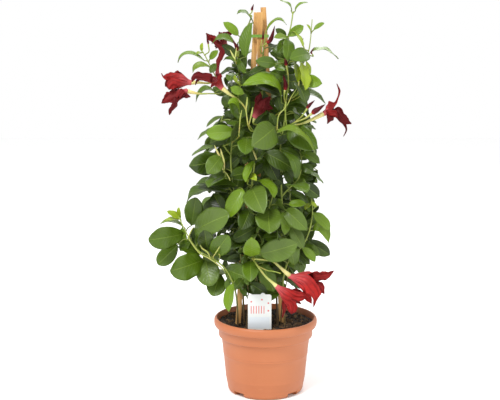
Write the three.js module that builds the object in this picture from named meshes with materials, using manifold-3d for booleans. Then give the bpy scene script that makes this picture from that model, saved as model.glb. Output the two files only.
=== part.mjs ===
// A climbing mandevilla on three canes in a round plastic pot. Millimetres, +Z up.
// The origin is the centre of the pot's flat underside.
import * as THREE from 'three';
import { mergeVertices } from 'three/addons/utils/BufferGeometryUtils.js';
import Module from 'manifold-3d';

const wasm = await Module();
wasm.setup();

const CLEARANCE = 0.35;            // gap kept between separate pieces

// Pot
const POT_SEGMENTS = 32;
const POT_HEIGHT = 109;
const POT_WALL = 1.6;
const POT_FLOOR = 2;
const NOTCH_HEIGHT = 6.5;
const NOTCH_HALF_ANGLE = THREE.MathUtils.degToRad(10);
const NOTCH_INNER_RADIUS = 36;
const NOTCH_OUTER_RADIUS = 66;
const DRAIN_RADIUS = 3.5;
const DRAIN_PLACE = 43;
// outer wall, radius and height, from the foot to the rim bead
const POT_OUTER = [
  [50.5, 0], [54, 1.6], [55.3, 5], [57.6, 24], [60.6, 48], [64.5, 80.5],
  [68.5, 82.5], [68.5, 95], [73.8, 97], [75, 101], [74.8, 106], [72.5, POT_HEIGHT],
];
// inner wall, from the rim down to the floor
const POT_INNER = [
  [70.4, POT_HEIGHT], [66.9, 95], [66.9, 83.6], [62.9, 81], [59, 48], [56, 24], [51.5, POT_FLOOR],
];

// Soil
const SOIL_TOP = 101.5;
const SOIL_DOME = 1.5;
const SOIL_EDGE = 67.9;

// Canes: flat laths, foot and top of the centre line
const CANE_WIDTH = 7.6;
const CANE_THICKNESS = 3;
const CANE_DEPTH_IN_SOIL = 60;
const CANES = {
  cane_left: { foot: [-40, -15, 100], top: [-13.3, 4, 544.5] },
  cane_middle: { foot: [-8, 38, 100], top: [-9, -8, 544.5] },
  cane_right: { foot: [24, -12, 100], top: [-4.2, 4, 551.6] },
};

// Tie round the canes
const TIE_HEIGHT = 4;
const TIE_BOTTOM = 510;
const TIE_WALL = 0.9;
const TIE_HALF = [11.15, 5.7];
const TIE_CORNER = 1;
const TIE_CENTRE = [-8.45, -1.08];

// Label
const LABEL_WIDTH = 33;
const LABEL_THICKNESS = 0.9;
const LABEL_TOP = 154.5;
const LABEL_CORNER = 3;
const LABEL_TAB = { low: 1, high: 8, rise: 2.2 };      // a small bump on the card's top edge
const LABEL_STAKE = 10;
const LABEL_STAKE_DEPTH = 26;
const LABEL_PLACE = [-9, -52];

// Stems and leaves
const STEM_SIDES = 4;
const STEM_STEP = 24;
const ROOT_DEPTH = 30;
const PETIOLE_RADIUS = 0.85;
const PETIOLE_SUNK = 0.15;
const BLADE_THICKNESS = 0.75;
const BLADE_FOLD = 0.16;
const BLADE_ARCH = 0.07;
const BLADE_RATIO = 0.56;
const BLADE_FULLNESS = 1.1;           // widens the few-sided outline to the area of a smooth one
const TINY_LEAF = 32;
const SMALL_LEAF = 54;
const ONE_STATION = [0.42];
const FEW_STATIONS = [0.26, 0.76];
const MANY_STATIONS = [0.17, 0.5, 0.86];

// Everything on the plant is set out on its front elevation, the plane y = 0, as
// [X, Z], and pushed to its depth y along the line of sight from this eye.
const EYE = new THREE.Vector3(-22.6, -1400, 499);

function place(x, z, y) {
  const scale = (y - EYE.y) / -EYE.y;
  return new THREE.Vector3(EYE.x + (x - EYE.x) * scale, y, EYE.z + (z - EYE.z) * scale);
}

const vec = (p) => new THREE.Vector3(...p);

// ---------------------------------------------------------------- solids

const SLIVER = 0.02;                // edges and steps finer than this are merged away

function solidOf(geometry) {
  const bare = geometry.clone();
  bare.deleteAttribute('normal');
  bare.deleteAttribute('uv');
  const merged = mergeVertices(bare, 1e-3);
  return new wasm.Manifold(new wasm.Mesh({
    numProp: 3,
    vertProperties: new Float32Array(merged.attributes.position.array),
    triVerts: new Uint32Array(merged.index.array),
  }));
}

function geometryOf(solid) {
  const mesh = solid.asOriginal().simplify(SLIVER).getMesh();
  const geometry = new THREE.BufferGeometry();
  geometry.setAttribute('position', new THREE.BufferAttribute(new Float32Array(mesh.vertProperties), 3));
  geometry.setIndex(new THREE.BufferAttribute(new Uint32Array(mesh.triVerts), 1));
  geometry.computeVertexNormals();
  return geometry;
}

// A closed geometry from triangles given as point triples; points at one place are shared.
function closedGeometry(triangles) {
  const numbers = new Map();
  const points = [];
  const index = [];
  const numberOf = (p) => {
    const key = [p.x, p.y, p.z].map((v) => Math.round(v * 2000)).join();
    if (!numbers.has(key)) {
      numbers.set(key, points.length / 3);
      points.push(p.x, p.y, p.z);
    }
    return numbers.get(key);
  };
  for (const triangle of triangles) {
    const [a, b, c] = triangle.map(numberOf);
    if (a !== b && b !== c && c !== a) index.push(a, b, c);
  }
  const geometry = new THREE.BufferGeometry();
  geometry.setAttribute('position', new THREE.Float32BufferAttribute(points, 3));
  geometry.setIndex(index);
  return geometry;
}

// Skin over rings of equal length. Quads from ring place `mirrorFrom` on are split the other
// way, so that a blade's two faces bend alike.
function loft(rings, mirrorFrom = Infinity) {
  const triangles = [];
  const count = rings[0].length;
  for (let i = 0; i + 1 < rings.length; i++) {
    for (let j = 0; j < count; j++) {
      const next = (j + 1) % count;
      const [a, b, c, d] = [rings[i][j], rings[i][next], rings[i + 1][next], rings[i + 1][j]];
      if (j < mirrorFrom) triangles.push([a, b, c], [a, c, d]);
      else triangles.push([b, c, d], [b, d, a]);
    }
  }
  const last = rings[rings.length - 1];
  for (let j = 1; j + 1 < count; j++) {
    triangles.push([rings[0][0], rings[0][j + 1], rings[0][j]]);
    triangles.push([last[0], last[j], last[j + 1]]);
  }
  return closedGeometry(triangles);
}

function sideOf(tangent, wanted) {
  return wanted.clone().addScaledVector(tangent, -wanted.dot(tangent)).normalize();
}

// A round ring of points about a centre, square to a direction.
function ringAt(centre, direction, across, radius, sides) {
  const side = sideOf(direction, across);
  const other = new THREE.Vector3().crossVectors(direction, side);
  return Array.from({ length: sides }, (_, i) => {
    const angle = (2 * Math.PI * i) / sides;
    return centre.clone().addScaledVector(side, radius * Math.cos(angle))
      .addScaledVector(other, radius * Math.sin(angle));
  });
}

const curveThrough = (points) => new THREE.CatmullRomCurve3(points, false, 'catmullrom', 0.5);

// ---------------------------------------------------------------- pot, soil, canes, tie, label

function ringWedge(inner, outer, low, high, halfAngle, middle) {
  const corners = (radius, z) => [-1, 1].map((s) => new THREE.Vector3(
    radius * Math.cos(middle + s * halfAngle), radius * Math.sin(middle + s * halfAngle), z));
  const ring = (z) => [...corners(inner, z), ...corners(outer, z).reverse()];
  return solidOf(loft([ring(low), ring(high)].map((r) => r.reverse())));
}

const NOTCH_PLACES = [0, 1, 2, 3].map((i) => Math.PI / 4 + (i * Math.PI) / 2);

function cutChannels(solid, grow) {
  let result = solid;
  for (const middle of NOTCH_PLACES) {
    const angle = NOTCH_HALF_ANGLE + grow / NOTCH_INNER_RADIUS;
    result = result.subtract(
      ringWedge(NOTCH_INNER_RADIUS - grow, NOTCH_OUTER_RADIUS, -1, NOTCH_HEIGHT + grow, angle, middle));
  }
  return result;
}

// A solid turned about +Z. Lathe profiles turn about three's Y axis, so it is stood up after.
function turned(profile) {
  const lathe = new THREE.LatheGeometry(profile.map(([r, z]) => new THREE.Vector2(r, z)), POT_SEGMENTS);
  lathe.rotateX(Math.PI / 2);
  return solidOf(lathe);
}

function makePot() {
  const outer = turned([[0, 0], ...POT_OUTER, [0, POT_HEIGHT]]);
  const inner = turned([[0, POT_FLOOR], ...[...POT_INNER].reverse(), [70.4, POT_HEIGHT + 1],
    [0, POT_HEIGHT + 1]]);
  let pot = cutChannels(outer.subtract(cutChannels(inner, POT_WALL)), 0);
  for (const angle of NOTCH_PLACES) {
    const drain = new THREE.CylinderGeometry(DRAIN_RADIUS, DRAIN_RADIUS, 3 * NOTCH_HEIGHT, 8);
    drain.rotateX(Math.PI / 2);
    drain.translate(DRAIN_PLACE * Math.cos(angle), DRAIN_PLACE * Math.sin(angle), NOTCH_HEIGHT);
    pot = pot.subtract(solidOf(drain));
  }
  return pot;
}

function caneBox(cane, grow) {
  const foot = vec(cane.foot);
  const top = vec(cane.top);
  const along = top.clone().sub(foot).normalize();
  const start = foot.clone().addScaledVector(along, -CANE_DEPTH_IN_SOIL - grow);
  const across = sideOf(along, new THREE.Vector3(1, 0, 0));
  const out = new THREE.Vector3().crossVectors(along, across);
  const ring = (centre) => [[1, 1], [-1, 1], [-1, -1], [1, -1]].map(([a, b]) => centre.clone()
    .addScaledVector(across, a * (CANE_WIDTH / 2 + grow))
    .addScaledVector(out, b * (CANE_THICKNESS / 2 + grow)));
  return solidOf(loft([ring(start), ring(top)]));
}

function makeTie() {
  const band = (grow) => {
    const [x, y] = TIE_HALF.map((half) => half - TIE_CORNER);
    const shape = new THREE.Shape();
    [[x, y], [-x, y], [-x, -y], [x, -y]].forEach(([cx, cy], i) => {
      shape.absarc(cx, cy, TIE_CORNER + grow, (i * Math.PI) / 2, ((i + 1) * Math.PI) / 2, false);
    });
    return shape;
  };
  const outline = band(TIE_WALL);
  outline.holes.push(band(0));
  const geometry = new THREE.ExtrudeGeometry(outline, {
    depth: TIE_HEIGHT, bevelEnabled: false, curveSegments: 2,
  });
  geometry.translate(TIE_CENTRE[0], TIE_CENTRE[1], TIE_BOTTOM);
  return solidOf(geometry);
}

// Card with two round top corners and a pointed stake below, facing the front.
function labelSolid(grow) {
  const half = LABEL_WIDTH / 2 + grow;
  const stake = LABEL_STAKE / 2 + grow;
  const low = SOIL_TOP + 2.5;
  const tip = SOIL_TOP - LABEL_STAKE_DEPTH - grow;
  const shape = new THREE.Shape();
  shape.moveTo(-half, low);
  shape.lineTo(-stake, low);
  shape.lineTo(-stake, tip + LABEL_STAKE / 2);
  shape.lineTo(0, tip);
  shape.lineTo(stake, tip + LABEL_STAKE / 2);
  shape.lineTo(stake, low);
  shape.lineTo(half, low);
  shape.absarc(half - LABEL_CORNER, LABEL_TOP - LABEL_CORNER, LABEL_CORNER, 0, Math.PI / 2, false);
  shape.lineTo(LABEL_TAB.high, LABEL_TOP);
  shape.lineTo(LABEL_TAB.high - LABEL_TAB.rise, LABEL_TOP + LABEL_TAB.rise);
  shape.lineTo(LABEL_TAB.low + LABEL_TAB.rise, LABEL_TOP + LABEL_TAB.rise);
  shape.lineTo(LABEL_TAB.low, LABEL_TOP);
  shape.absarc(-half + LABEL_CORNER, LABEL_TOP - LABEL_CORNER, LABEL_CORNER, Math.PI / 2, Math.PI, false);
  const geometry = new THREE.ExtrudeGeometry(shape, {
    depth: LABEL_THICKNESS + 2 * grow, bevelEnabled: false, curveSegments: 3,
  });
  geometry.translate(0, 0, -LABEL_THICKNESS / 2 - grow);
  geometry.rotateX(Math.PI / 2);
  geometry.translate(LABEL_PLACE[0], LABEL_PLACE[1], 0);
  return solidOf(geometry);
}

// ---------------------------------------------------------------- stems

// Stems stand in the soil at [x, y]; the route goes on over [X, Z, y] of the front elevation.
const STEMS = {
  vine_left: {
    radius: 1.4,
    foot: [-31, -20],
    route: [[-33, 150, -24], [-36, 200, -26], [-40, 255, -24], [-46, 300, -24], [-50, 345, -22],
      [-42, 395, -20], [-37, 440, -16], [-39, 480, -14], [-34, 510, -14], [-24, 530, -12], [-20, 540, -10]],
    branches: [
      [[-38, 425, -18], [-50, 428, -24], [-62, 440, -24], [-74, 462, -20], [-84, 482, -16], [-90, 492, -14]],
      [[-50, 345, -22], [-58, 356, -30], [-66, 374, -30], [-64, 392, -28], [-60, 402, -26]],
      [[-45, 290, -24], [-54, 300, -28], [-58, 318, -34], [-66, 338, -38], [-64, 348, -38]],
    ],
  },
  vine_front: {
    radius: 1.4,
    foot: [-10, -27],
    route: [[-12, 150, -34], [-16, 200, -36], [-21, 250, -34], [-20, 300, -34], [-14, 350, -32],
      [-10, 390, -28], [-6, 430, -24], [-5, 465, -22], [-4, 490, -20], [0, 520, -17]],
    branches: [
      [[-18, 220, -36], [-6, 244, -42], [4, 266, -42], [10, 290, -36], [8, 316, -30]],
      [[-14, 350, -32], [-2, 364, -38], [8, 380, -38], [14, 402, -30]],
    ],
  },
  vine_right: {
    radius: 1.4,
    foot: [17, -24],
    route: [[16, 150, -26], [20, 200, -26], [24, 250, -28], [22, 300, -28], [20, 350, -26],
      [27, 400, -24], [29, 440, -20], [30, 480, -18], [31, 508, -16], [35, 529, -12], [37.5, 546, -10]],
    branches: [
      [[28.5, 430, -21], [38, 450, -18], [50, 470, -16], [59, 490, -14], [62, 508, -12], [64, 535, -10]],
      [[23, 285, -28], [34, 298, -30], [46, 310, -30], [51, 330, -28], [49, 350, -26], [46, 366, -24]],
    ],
  },
  shoot_left: {
    radius: 1.3,
    foot: [-40, -29],
    route: [[-42, 135, -34], [-48, 160, -38], [-59, 180, -40], [-73, 192, -40], [-84, 199, -38],
      [-97, 206, -36], [-108, 221, -34], [-117, 238, -32], [-125, 256, -30]],
    branches: [],
  },
  shoot_right: {
    radius: 1.3,
    foot: [27, -28],
    route: [[26, 140, -34], [26, 165, -40], [32, 188, -44], [44, 203, -44], [56, 218, -40],
      [64, 240, -34], [67, 262, -30], [65.5, 284, -28]],
    branches: [],
  },
  vine_back_left: {
    radius: 1.4,
    foot: [-34, 22],
    route: [[-38, 150, 24], [-44, 200, 28], [-48, 260, 30], [-46, 320, 28], [-44, 380, 26],
      [-38, 430, 24], [-30, 470, 20], [-26, 505, 16]],
    branches: [],
  },
  vine_back: {
    radius: 1.4,
    foot: [-2, 50],
    route: [[-4, 150, 50], [-10, 200, 48], [-14, 260, 44], [-4, 320, 40], [4, 380, 36], [-4, 430, 32],
      [-8, 475, 28]],
    branches: [],
  },
  vine_back_right: {
    radius: 1.4,
    foot: [20, 24],
    route: [[24, 150, 26], [32, 200, 28], [36, 260, 30], [32, 320, 30], [30, 380, 28], [30, 430, 26],
      [22, 470, 22], [18, 505, 18]],
    branches: [],
  },
};
const BRANCH_RADIUS = 1.0;

const stepsAlong = (curve) => Math.max(2, Math.ceil(curve.getLength() / STEM_STEP));

function stemTube(curve, radius) {
  const ring = new THREE.Shape();
  for (let i = 0; i < STEM_SIDES; i++) {
    const angle = (2 * Math.PI * i) / STEM_SIDES;
    const [x, y] = [radius * Math.cos(angle), radius * Math.sin(angle)];
    if (i === 0) ring.moveTo(x, y);
    else ring.lineTo(x, y);
  }
  return solidOf(new THREE.ExtrudeGeometry(ring, {
    steps: stepsAlong(curve), bevelEnabled: false, extrudePath: curve,
  }));
}

// The nearest place to a target on a stem's straight steps, with the step's direction.
function nearestOn(curve, target) {
  const points = curve.getSpacedPoints(stepsAlong(curve));
  let best = null;
  for (let i = 0; i + 1 < points.length; i++) {
    const step = new THREE.Line3(points[i], points[i + 1]);
    const point = step.closestPointToPoint(target, true, new THREE.Vector3());
    const gap = point.distanceTo(target);
    if (!best || gap < best.gap) best = { gap, point, tangent: step.delta(new THREE.Vector3()).normalize() };
  }
  return best;
}

function stemCurves(stem) {
  const [x, y] = stem.foot;
  const rooted = [-ROOT_DEPTH, -ROOT_DEPTH / 2, 2, 8].map((up) => new THREE.Vector3(x, y, SOIL_TOP + up));
  const main = curveThrough([...rooted, ...stem.route.map((p) => place(...p))]);
  const branches = stem.branches.map(([first, ...rest]) => curveThrough(
    [nearestOn(main, place(...first)).point, ...rest.map((p) => place(...p))]));
  return [main, ...branches];
}

function stemHole(stem) {
  const radius = stem.radius + 2.4 * CLEARANCE;
  const hole = new THREE.CylinderGeometry(radius, radius, ROOT_DEPTH + 20, 8);
  hole.rotateX(Math.PI / 2);
  hole.translate(stem.foot[0], stem.foot[1], SOIL_TOP - ROOT_DEPTH / 2 - CLEARANCE + 10);
  return solidOf(hole);
}

function makeSoil() {
  const inner = POT_INNER.filter(([, z]) => z < SOIL_TOP - 1).map(([r, z]) => [r - CLEARANCE,
    z === POT_FLOOR ? z + CLEARANCE : z]);
  let soil = turned([[0, POT_FLOOR + CLEARANCE], ...inner.reverse(), [SOIL_EDGE, SOIL_TOP - 1],
    [30, SOIL_TOP], [0, SOIL_TOP + SOIL_DOME]]);
  soil = cutChannels(soil, POT_WALL + CLEARANCE);
  for (const cane of Object.values(CANES)) soil = soil.subtract(caneBox(cane, CLEARANCE));
  for (const stem of Object.values(STEMS)) soil = soil.subtract(stemHole(stem));
  return soil.subtract(labelSolid(CLEARANCE));
}

// ---------------------------------------------------------------- leaves

// Half width of a blade, 0 to 1, at a share t of its length.
const bladeProfile = (t) => Math.sin(Math.PI * t) ** 0.65;

// One leaf: a petiole from `root` on the stem's centre line to `base`, then the blade to `tip`,
// bowed through `middle`. `normal` is the upper face. `grow` thickens it for clearance tests.
function leafRings({ root, base, middle, tip, width, normal, plain }, grow) {
  const length = base.distanceTo(tip);
  const control = middle.clone().multiplyScalar(2).addScaledVector(base, -0.5).addScaledVector(tip, -0.5);
  const spine = new THREE.QuadraticBezierCurve3(base, control, tip);
  const half = BLADE_THICKNESS / 2 + grow;
  const across = new THREE.Vector3().crossVectors(tip.clone().sub(base), normal).normalize();
  let stations = plain || length < SMALL_LEAF ? FEW_STATIONS : MANY_STATIONS;
  if (length < TINY_LEAF) stations = ONE_STATION;
  const blade = stations.map((t) => {
    const tangent = spine.getTangent(t);
    const side = sideOf(tangent, across);
    const up = new THREE.Vector3().crossVectors(side, tangent);
    const centre = spine.getPoint(t);
    const reach = (width / 2) * BLADE_FULLNESS * bladeProfile(t) + grow;
    const point = (s, h) => centre.clone().addScaledVector(side, s * reach)
      .addScaledVector(up, Math.abs(s) * reach * BLADE_FOLD + h);
    return [point(-1, half), point(0, half), point(1, half), point(1, -half), point(0, -half),
      point(-1, -half)];
  });
  const stalk = PETIOLE_RADIUS + grow;
  const stalkRing = (centre, tangent) => {
    const side = sideOf(tangent, across);
    const up = new THREE.Vector3().crossVectors(side, tangent);
    const [left, right] = [-stalk, stalk].map((s) => centre.clone().addScaledVector(side, s)
      .addScaledVector(up, -stalk / 2));
    const top = centre.clone().addScaledVector(up, stalk);
    return [left, top, right, right, left, left];
  };
  const outward = base.clone().sub(root).normalize();
  const bladeStart = stalkRing(base, outward.clone().add(spine.getTangent(0)).normalize());
  const end = Array(6).fill(tip);
  const start = stalkRing(root.clone().addScaledVector(outward, -PETIOLE_SUNK), outward);
  return { petiole: [start, bladeStart], blade: [bladeStart, ...blade, end] };
}

function leafSolids(leaf, grow) {
  const { petiole, blade } = leafRings(leaf, grow);
  const solid = (rings) => solidOf(loft(rings, 3));
  return { whole: solid([petiole[0], ...blade]), petiole: solid(petiole), blade: solid(blade) };
}

// Leaves seen from the front: [base X, Z, tip X, Z, seen width, layer, middle X, Z]. Layer 0 is
// outermost; the middle is given only where the midrib curves.
const LEAVES = {
  vine_left: [
    [-39, 513, -60, 531, 12, 1], [-18, 530, -41, 542, 4, 1, -30, 543], [-43, 500, -76, 501, 9, 1, -60, 508],
    [-29, 483, -20, 530, 16, 0], [-42, 485, -62, 500, 14, 2], [-36, 470, -60, 478, 5, 1, -50, 479],
    [-36, 458, -65, 457, 7, 2, -50, 463], [-40, 481, -27, 461, 10, 1], [-38, 472, -30, 448, 8, 2],
    [-35, 443, -44, 458, 5, 0], [-31, 432, -50, 441, 12, 1], [-58, 430, -75, 441, 12, 2],
    [-72, 434, -99, 420, 7, 1, -87, 436], [-86, 478, -123.5, 475, 5, 1, -110, 485],
    [-79, 469, -103, 461, 8, 0, -94, 470], [-70, 474, -79, 461, 10, 1], [-79, 480, -67, 492, 9, 1],
    [-90, 491, -89, 503, 5, 1], [-91, 489, -98, 488, 4, 1],
    [-37, 404, -54, 417, 7, 0, -44, 420], [-40, 403, -60, 404, 11, 2], [-60, 400, -84, 385, 5, 2],
    [-44, 379, -85, 376, 22, 0], [-50, 372, -80, 362, 16, 1], [-68, 383, -97, 367, 4, 1],
    [-62, 358, -105, 344, 4, 1], [-62, 337, -109.5, 329.5, 32, 0], [-64, 343, -84, 318, 24, 0],
    [-56, 325, -38, 342, 14, 2], [-56, 325, -32, 331, 8, 2], [-60, 305, -100, 303, 9, 1],
    [-41, 301, -79, 300, 11, 1], [-52, 290, -114, 276, 9, 1, -90, 290], [-40, 262, -62, 252, 16, 2],
    [-33, 296, -55.5, 253.5, 22, 0],
  ],
  shoot_left: [
    [-104, 233, -52, 259, 32, 0], [-118, 231, -169, 222, 33, 1], [-127, 215, -156, 186, 24, 0],
    [-120, 240, -121, 213, 15, 0], [-93, 202, -127, 212, 14, 1], [-90, 193, -138.5, 176, 38, 0],
    [-88, 198, -79, 154, 34, 0], [-66, 172, -77, 139, 28, 2], [-76, 200, -54, 229, 28, 0],
    [-84, 208, -88, 236, 24, 0], [-123, 253, -142, 264, 8, 0], [-122, 255, -124, 270, 6, 0],
    [-125, 252, -144.5, 251, 4, 0], [-118, 240, -152, 245, 4, 1, -135, 247], [-59, 180, -24, 166, 30, 1],
    [-107, 243, -100, 284, 27, 0],
    [-47, 158, -53.5, 115, 14, 0], [-51, 167, -57, 148, 9, 1], [-33, 165, -45, 150, 14, 2],
  ],
  vine_front: [
    [13, 385, -20, 358, 38, 0], [-27, 370, -30, 346, 24, 0], [14, 385, 5, 405, 12, 1],
    [-17, 315, 0, 333, 10, 2], [-17, 337, -29, 306, 10, 0], [-20, 350, -38, 342, 8, 2],
    [-14, 308, 12.5, 283, 11, 0, 3, 300], [-26, 303, -13, 308, 4, 0, -20, 313],
    [-20, 298, -3, 260.5, 34, 0], [3, 268, 5.5, 230.5, 37, 0], [-8, 201, 47, 217, 33, 0],
    [-20, 198, -20, 226, 24, 0], [-22, 191, -22, 159.5, 24, 0], [-15, 240, -48, 222, 20, 1],
    [-22, 268, -35, 236, 24, 1], [-26, 300, -30, 259, 8, 1], [-5, 188, 12, 145, 24, 1],
    [5, 185, 21, 155, 14, 2], [-22, 158, 2, 142, 20, 1], [8, 197, 23, 184, 14, 2],
    [0, 468, -25, 458, 14, 1], [18, 403, -7, 437, 13, 2], [-33, 198, -58, 192, 12, 2],
    [1, 520, 28.5, 527.5, 4, 1, 15, 532], [6, 318, 25, 304, 18, 2], [9, 310, 32, 283, 20, 2],
  ],
  vine_right: [
    [28, 512, 13, 522, 10, 1], [30, 512, 52, 526, 13, 0], [39, 518, 51, 498, 5, 0],
    [31, 509, 11, 510, 8, 0], [31, 508, 28, 479, 18, 1], [60, 487, 33, 480, 20, 1],
    [60, 488, 101, 480, 4.5, 1, 80, 491], [52, 452, 79, 446, 18, 0], [40, 476, 44, 448, 10, 0],
    [48, 477, 55, 437, 14, 0], [56, 478, 58, 455, 8, 0], [14, 474, -15, 478, 16, 0],
    [12, 470, 27, 464, 8, 1], [12, 470, 28, 478, 7, 1], [24, 452, -10, 453, 16, 1],
    [22, 419, -33, 443, 14, 0, 5, 446], [16, 482, 5, 490, 6, 2], [35, 546, 19, 561, 3, 1, 30.5, 554],
    [40, 546, 57.7, 558, 3, 1, 47, 553.5], [66, 520, 81, 530, 6, 0], [62, 520, 56, 528, 3, 1],
    [30, 418, 84, 418, 8, 1, 55, 430], [30, 425, 50, 436, 8, 2], [29, 413, 60, 407, 14, 1, 45, 424],
    [16, 377, 71, 347, 7, 0, 42, 374], [32, 384, 74, 354, 32, 1], [22, 350, 41.5, 309, 14, 0, 38, 334],
    [21, 354, 50, 338, 12, 1], [48, 350, 77, 333, 12, 1], [50, 331, 69, 320, 14, 1],
    [53, 325, 82, 304, 4, 1], [45, 309, 56, 294, 18, 1], [48, 307, 77, 285, 20, 1],
    [33, 274, 58, 275, 10, 0], [34, 292, 60, 276, 8, 1], [29, 266, 60, 236, 25, 0, 41, 255],
    [26, 264, 27, 229, 15, 1], [36, 242, 55, 209, 18, 0],
  ],
  shoot_right: [
    [68, 236, 91, 217.5, 16, 0, 82, 240], [68, 262, 93, 236, 14, 0], [60, 222, 93, 200, 20, 1],
    [57, 216, 78, 199, 14, 1], [52, 211, 72, 190, 11, 0], [45, 204, 64, 186, 11, 1],
    [40, 201, 58.5, 181.5, 7, 1], [28, 195, 51, 177, 12, 1], [30, 188, 39.5, 173.5, 4, 1],
    [65, 278, 73, 270, 5, 0], [64, 276, 57, 266, 5, 0], [24, 167, 50, 150, 8, 2],
  ],
};

// The foliage fills a round column; its half width and half depth at a height.
const COLUMN_X = -5;
const COLUMN_RX = 88;
const COLUMN_RY = 70;
const LAYERS = [{ base: 0.7, tip: 0.95 }, { base: 0.5, tip: 0.66 }, { base: 0.3, tip: 0.36 }];
const COLUMN_TOP = 470;
const COLUMN_TIP = 570;

function columnDepth(x, z, share) {
  const taper = z < COLUMN_TOP ? 1 : Math.max(0.25, (COLUMN_TIP - z) / (COLUMN_TIP - COLUMN_TOP));
  const across = Math.min(1, Math.abs(x - COLUMN_X) / COLUMN_RX);
  return -COLUMN_RY * taper * share * Math.sqrt(1 - across * across);
}

// Depth moves tried in turn for a leaf, base then tip, until it is clear of its neighbours.
const NUDGES = [[0, 0], [0, -8], [0, 8], [-6, -6], [6, 6], [-6, -14], [6, 14], [-12, -12], [12, 12],
  [0, -16], [0, 16], [-12, -22], [12, 22], [-18, -18], [18, 18], [-24, -24], [24, 24], [-10, 10],
  [10, -10], [30, 30], [-30, -30], [36, 36], [-36, -36], [44, 44]];

function seenLeaf(row, nudge, nearest) {
  const [bx, bz, tx, tz, seenWidth, layer, mx, mz] = row;
  const seenLength = Math.hypot(tx - bx, tz - bz);
  const length = Math.max(seenLength, seenWidth / BLADE_RATIO);
  const forward = Math.sqrt(length ** 2 - seenLength ** 2);
  const baseDepth = columnDepth(bx, bz, LAYERS[layer].base);
  const tipDepth = Math.min(columnDepth(tx, tz, LAYERS[layer].tip), baseDepth - forward);
  const base = place(bx, bz, baseDepth + nudge[0]);
  const tip = place(tx, tz, tipDepth + nudge[1]);
  const reach = base.distanceTo(tip);
  const width = Math.min(Math.max(seenWidth, 0.5 * reach), 38);
  const chord = tip.clone().sub(base).normalize();
  const facing = sideOf(chord, new THREE.Vector3(0, -1, 0));
  const turn = new THREE.Vector3().crossVectors(chord, facing);
  const outward = new THREE.Vector3(Math.sign(tx - COLUMN_X), 0, 1.2);
  if (turn.dot(outward) < 0) turn.negate();
  const lean = Math.acos(Math.min(1, seenWidth / width));
  const normal = facing.multiplyScalar(Math.cos(lean)).addScaledVector(turn, Math.sin(lean));
  const middle = mx === undefined ? base.clone().lerp(tip, 0.5)
    : place(mx, mz, (base.y + tip.y) / 2);
  middle.addScaledVector(normal, BLADE_ARCH * reach);
  return { root: nearest(base), base, middle, tip, width, normal };
}

// Leaves of the back and sides, in pairs up a stem. Numbers between 0 and 1 from a seeded rule.
function randomSource(seed) {
  let state = seed;
  return () => {
    state = (state * 16807) % 2147483647;
    return state / 2147483647;
  };
}

// Which way each stem's rule-made leaves face, in degrees about +Z, and their heights.
const FACING = {
  vine_back_left: { out: 140, low: 128, high: 500 },
  vine_back: { out: 90, low: 140, high: 470 },
  vine_back_right: { out: 42, low: 128, high: 500 },
  vine_left: { out: 185, low: 160, high: 500 },
  vine_right: { out: 5, low: 160, high: 500 },
};
const PAIR_STEP = 36;
const PAIR_SPREAD = [62, 24];
const TRIALS = 9;
// How far rule-made leaves may reach to either side: height and lowest and highest X as seen.
const REACH = [[118, -40, 26], [150, -56, 50], [200, -84, 70], [262, -94, 78], [340, -90, 76],
  [400, -80, 72], [440, -60, 62], [480, -48, 48], [520, -40, 40]];

function withinReach(point) {
  const scale = (point.y - EYE.y) / -EYE.y;
  const x = EYE.x + (point.x - EYE.x) / scale;
  const z = EYE.z + (point.z - EYE.z) / scale;
  const i = REACH.findIndex(([height]) => height > z);
  if (i < 1) return false;
  const share = (z - REACH[i - 1][0]) / (REACH[i][0] - REACH[i - 1][0]);
  const [low, high] = [1, 2].map((k) => REACH[i - 1][k] + share * (REACH[i][k] - REACH[i - 1][k]));
  return low <= x && x <= high;
}

function ruleLeaves(name, curve, random) {
  const { out, low, high } = FACING[name];
  const leaves = [];
  const step = ['vine_left', 'vine_right'].includes(name) ? 2 * PAIR_STEP : PAIR_STEP;
  for (let z = low, pair = 0; z < high; z += step, pair++) {
    for (const hand of [-1, 1]) {
      const trials = [];
      for (let i = 0; i < TRIALS; i++) {
        const yaw = out + hand * PAIR_SPREAD[pair % 2] + (random() - 0.5) * (18 + 14 * i);
        const rise = 20 - 60 * random() - 5 * i;
        const length = (42 + 16 * random()) * (1 - 0.04 * i) * (z > 440 ? 0.75 : 1);
        const stalk = 12 + 10 * random();
        trials.push({ yaw, rise, length, stalk });
      }
      leaves.push({ z: z + 6 * hand, trials });
    }
  }
  return leaves.map(({ z, trials }) => trials.map((trial) => ruleLeaf(curve, z, trial))
    .filter((leaf) => withinReach(leaf.tip)));
}

function pointAtHeight(curve, z) {
  let [low, high] = [0, 1];
  for (let i = 0; i < 30; i++) {
    const middle = (low + high) / 2;
    if (curve.getPoint(middle).z < z) low = middle;
    else high = middle;
  }
  return curve.getPoint(low);
}

function heading(yawDegrees, riseDegrees) {
  const yaw = THREE.MathUtils.degToRad(yawDegrees);
  const rise = THREE.MathUtils.degToRad(riseDegrees);
  return new THREE.Vector3(Math.cos(yaw) * Math.cos(rise), Math.sin(yaw) * Math.cos(rise), Math.sin(rise));
}

function ruleLeaf(curve, z, { yaw, rise, length, stalk }) {
  const start = pointAtHeight(curve, z);
  const root = nearestOn(curve, start).point;
  const base = start.clone().addScaledVector(heading(yaw, 25), stalk);
  const direction = heading(yaw, rise);
  const tip = base.clone().addScaledVector(direction, length);
  const across = heading(yaw + 90, 0);
  const normal = new THREE.Vector3().crossVectors(direction, across);
  const middle = base.clone().lerp(tip, 0.5).addScaledVector(normal, 1.6 * BLADE_ARCH * length);
  return { root, base, middle, tip, width: BLADE_RATIO * length, normal, plain: true };
}

// ---------------------------------------------------------------- flower stalks, blooms, buds

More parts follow.
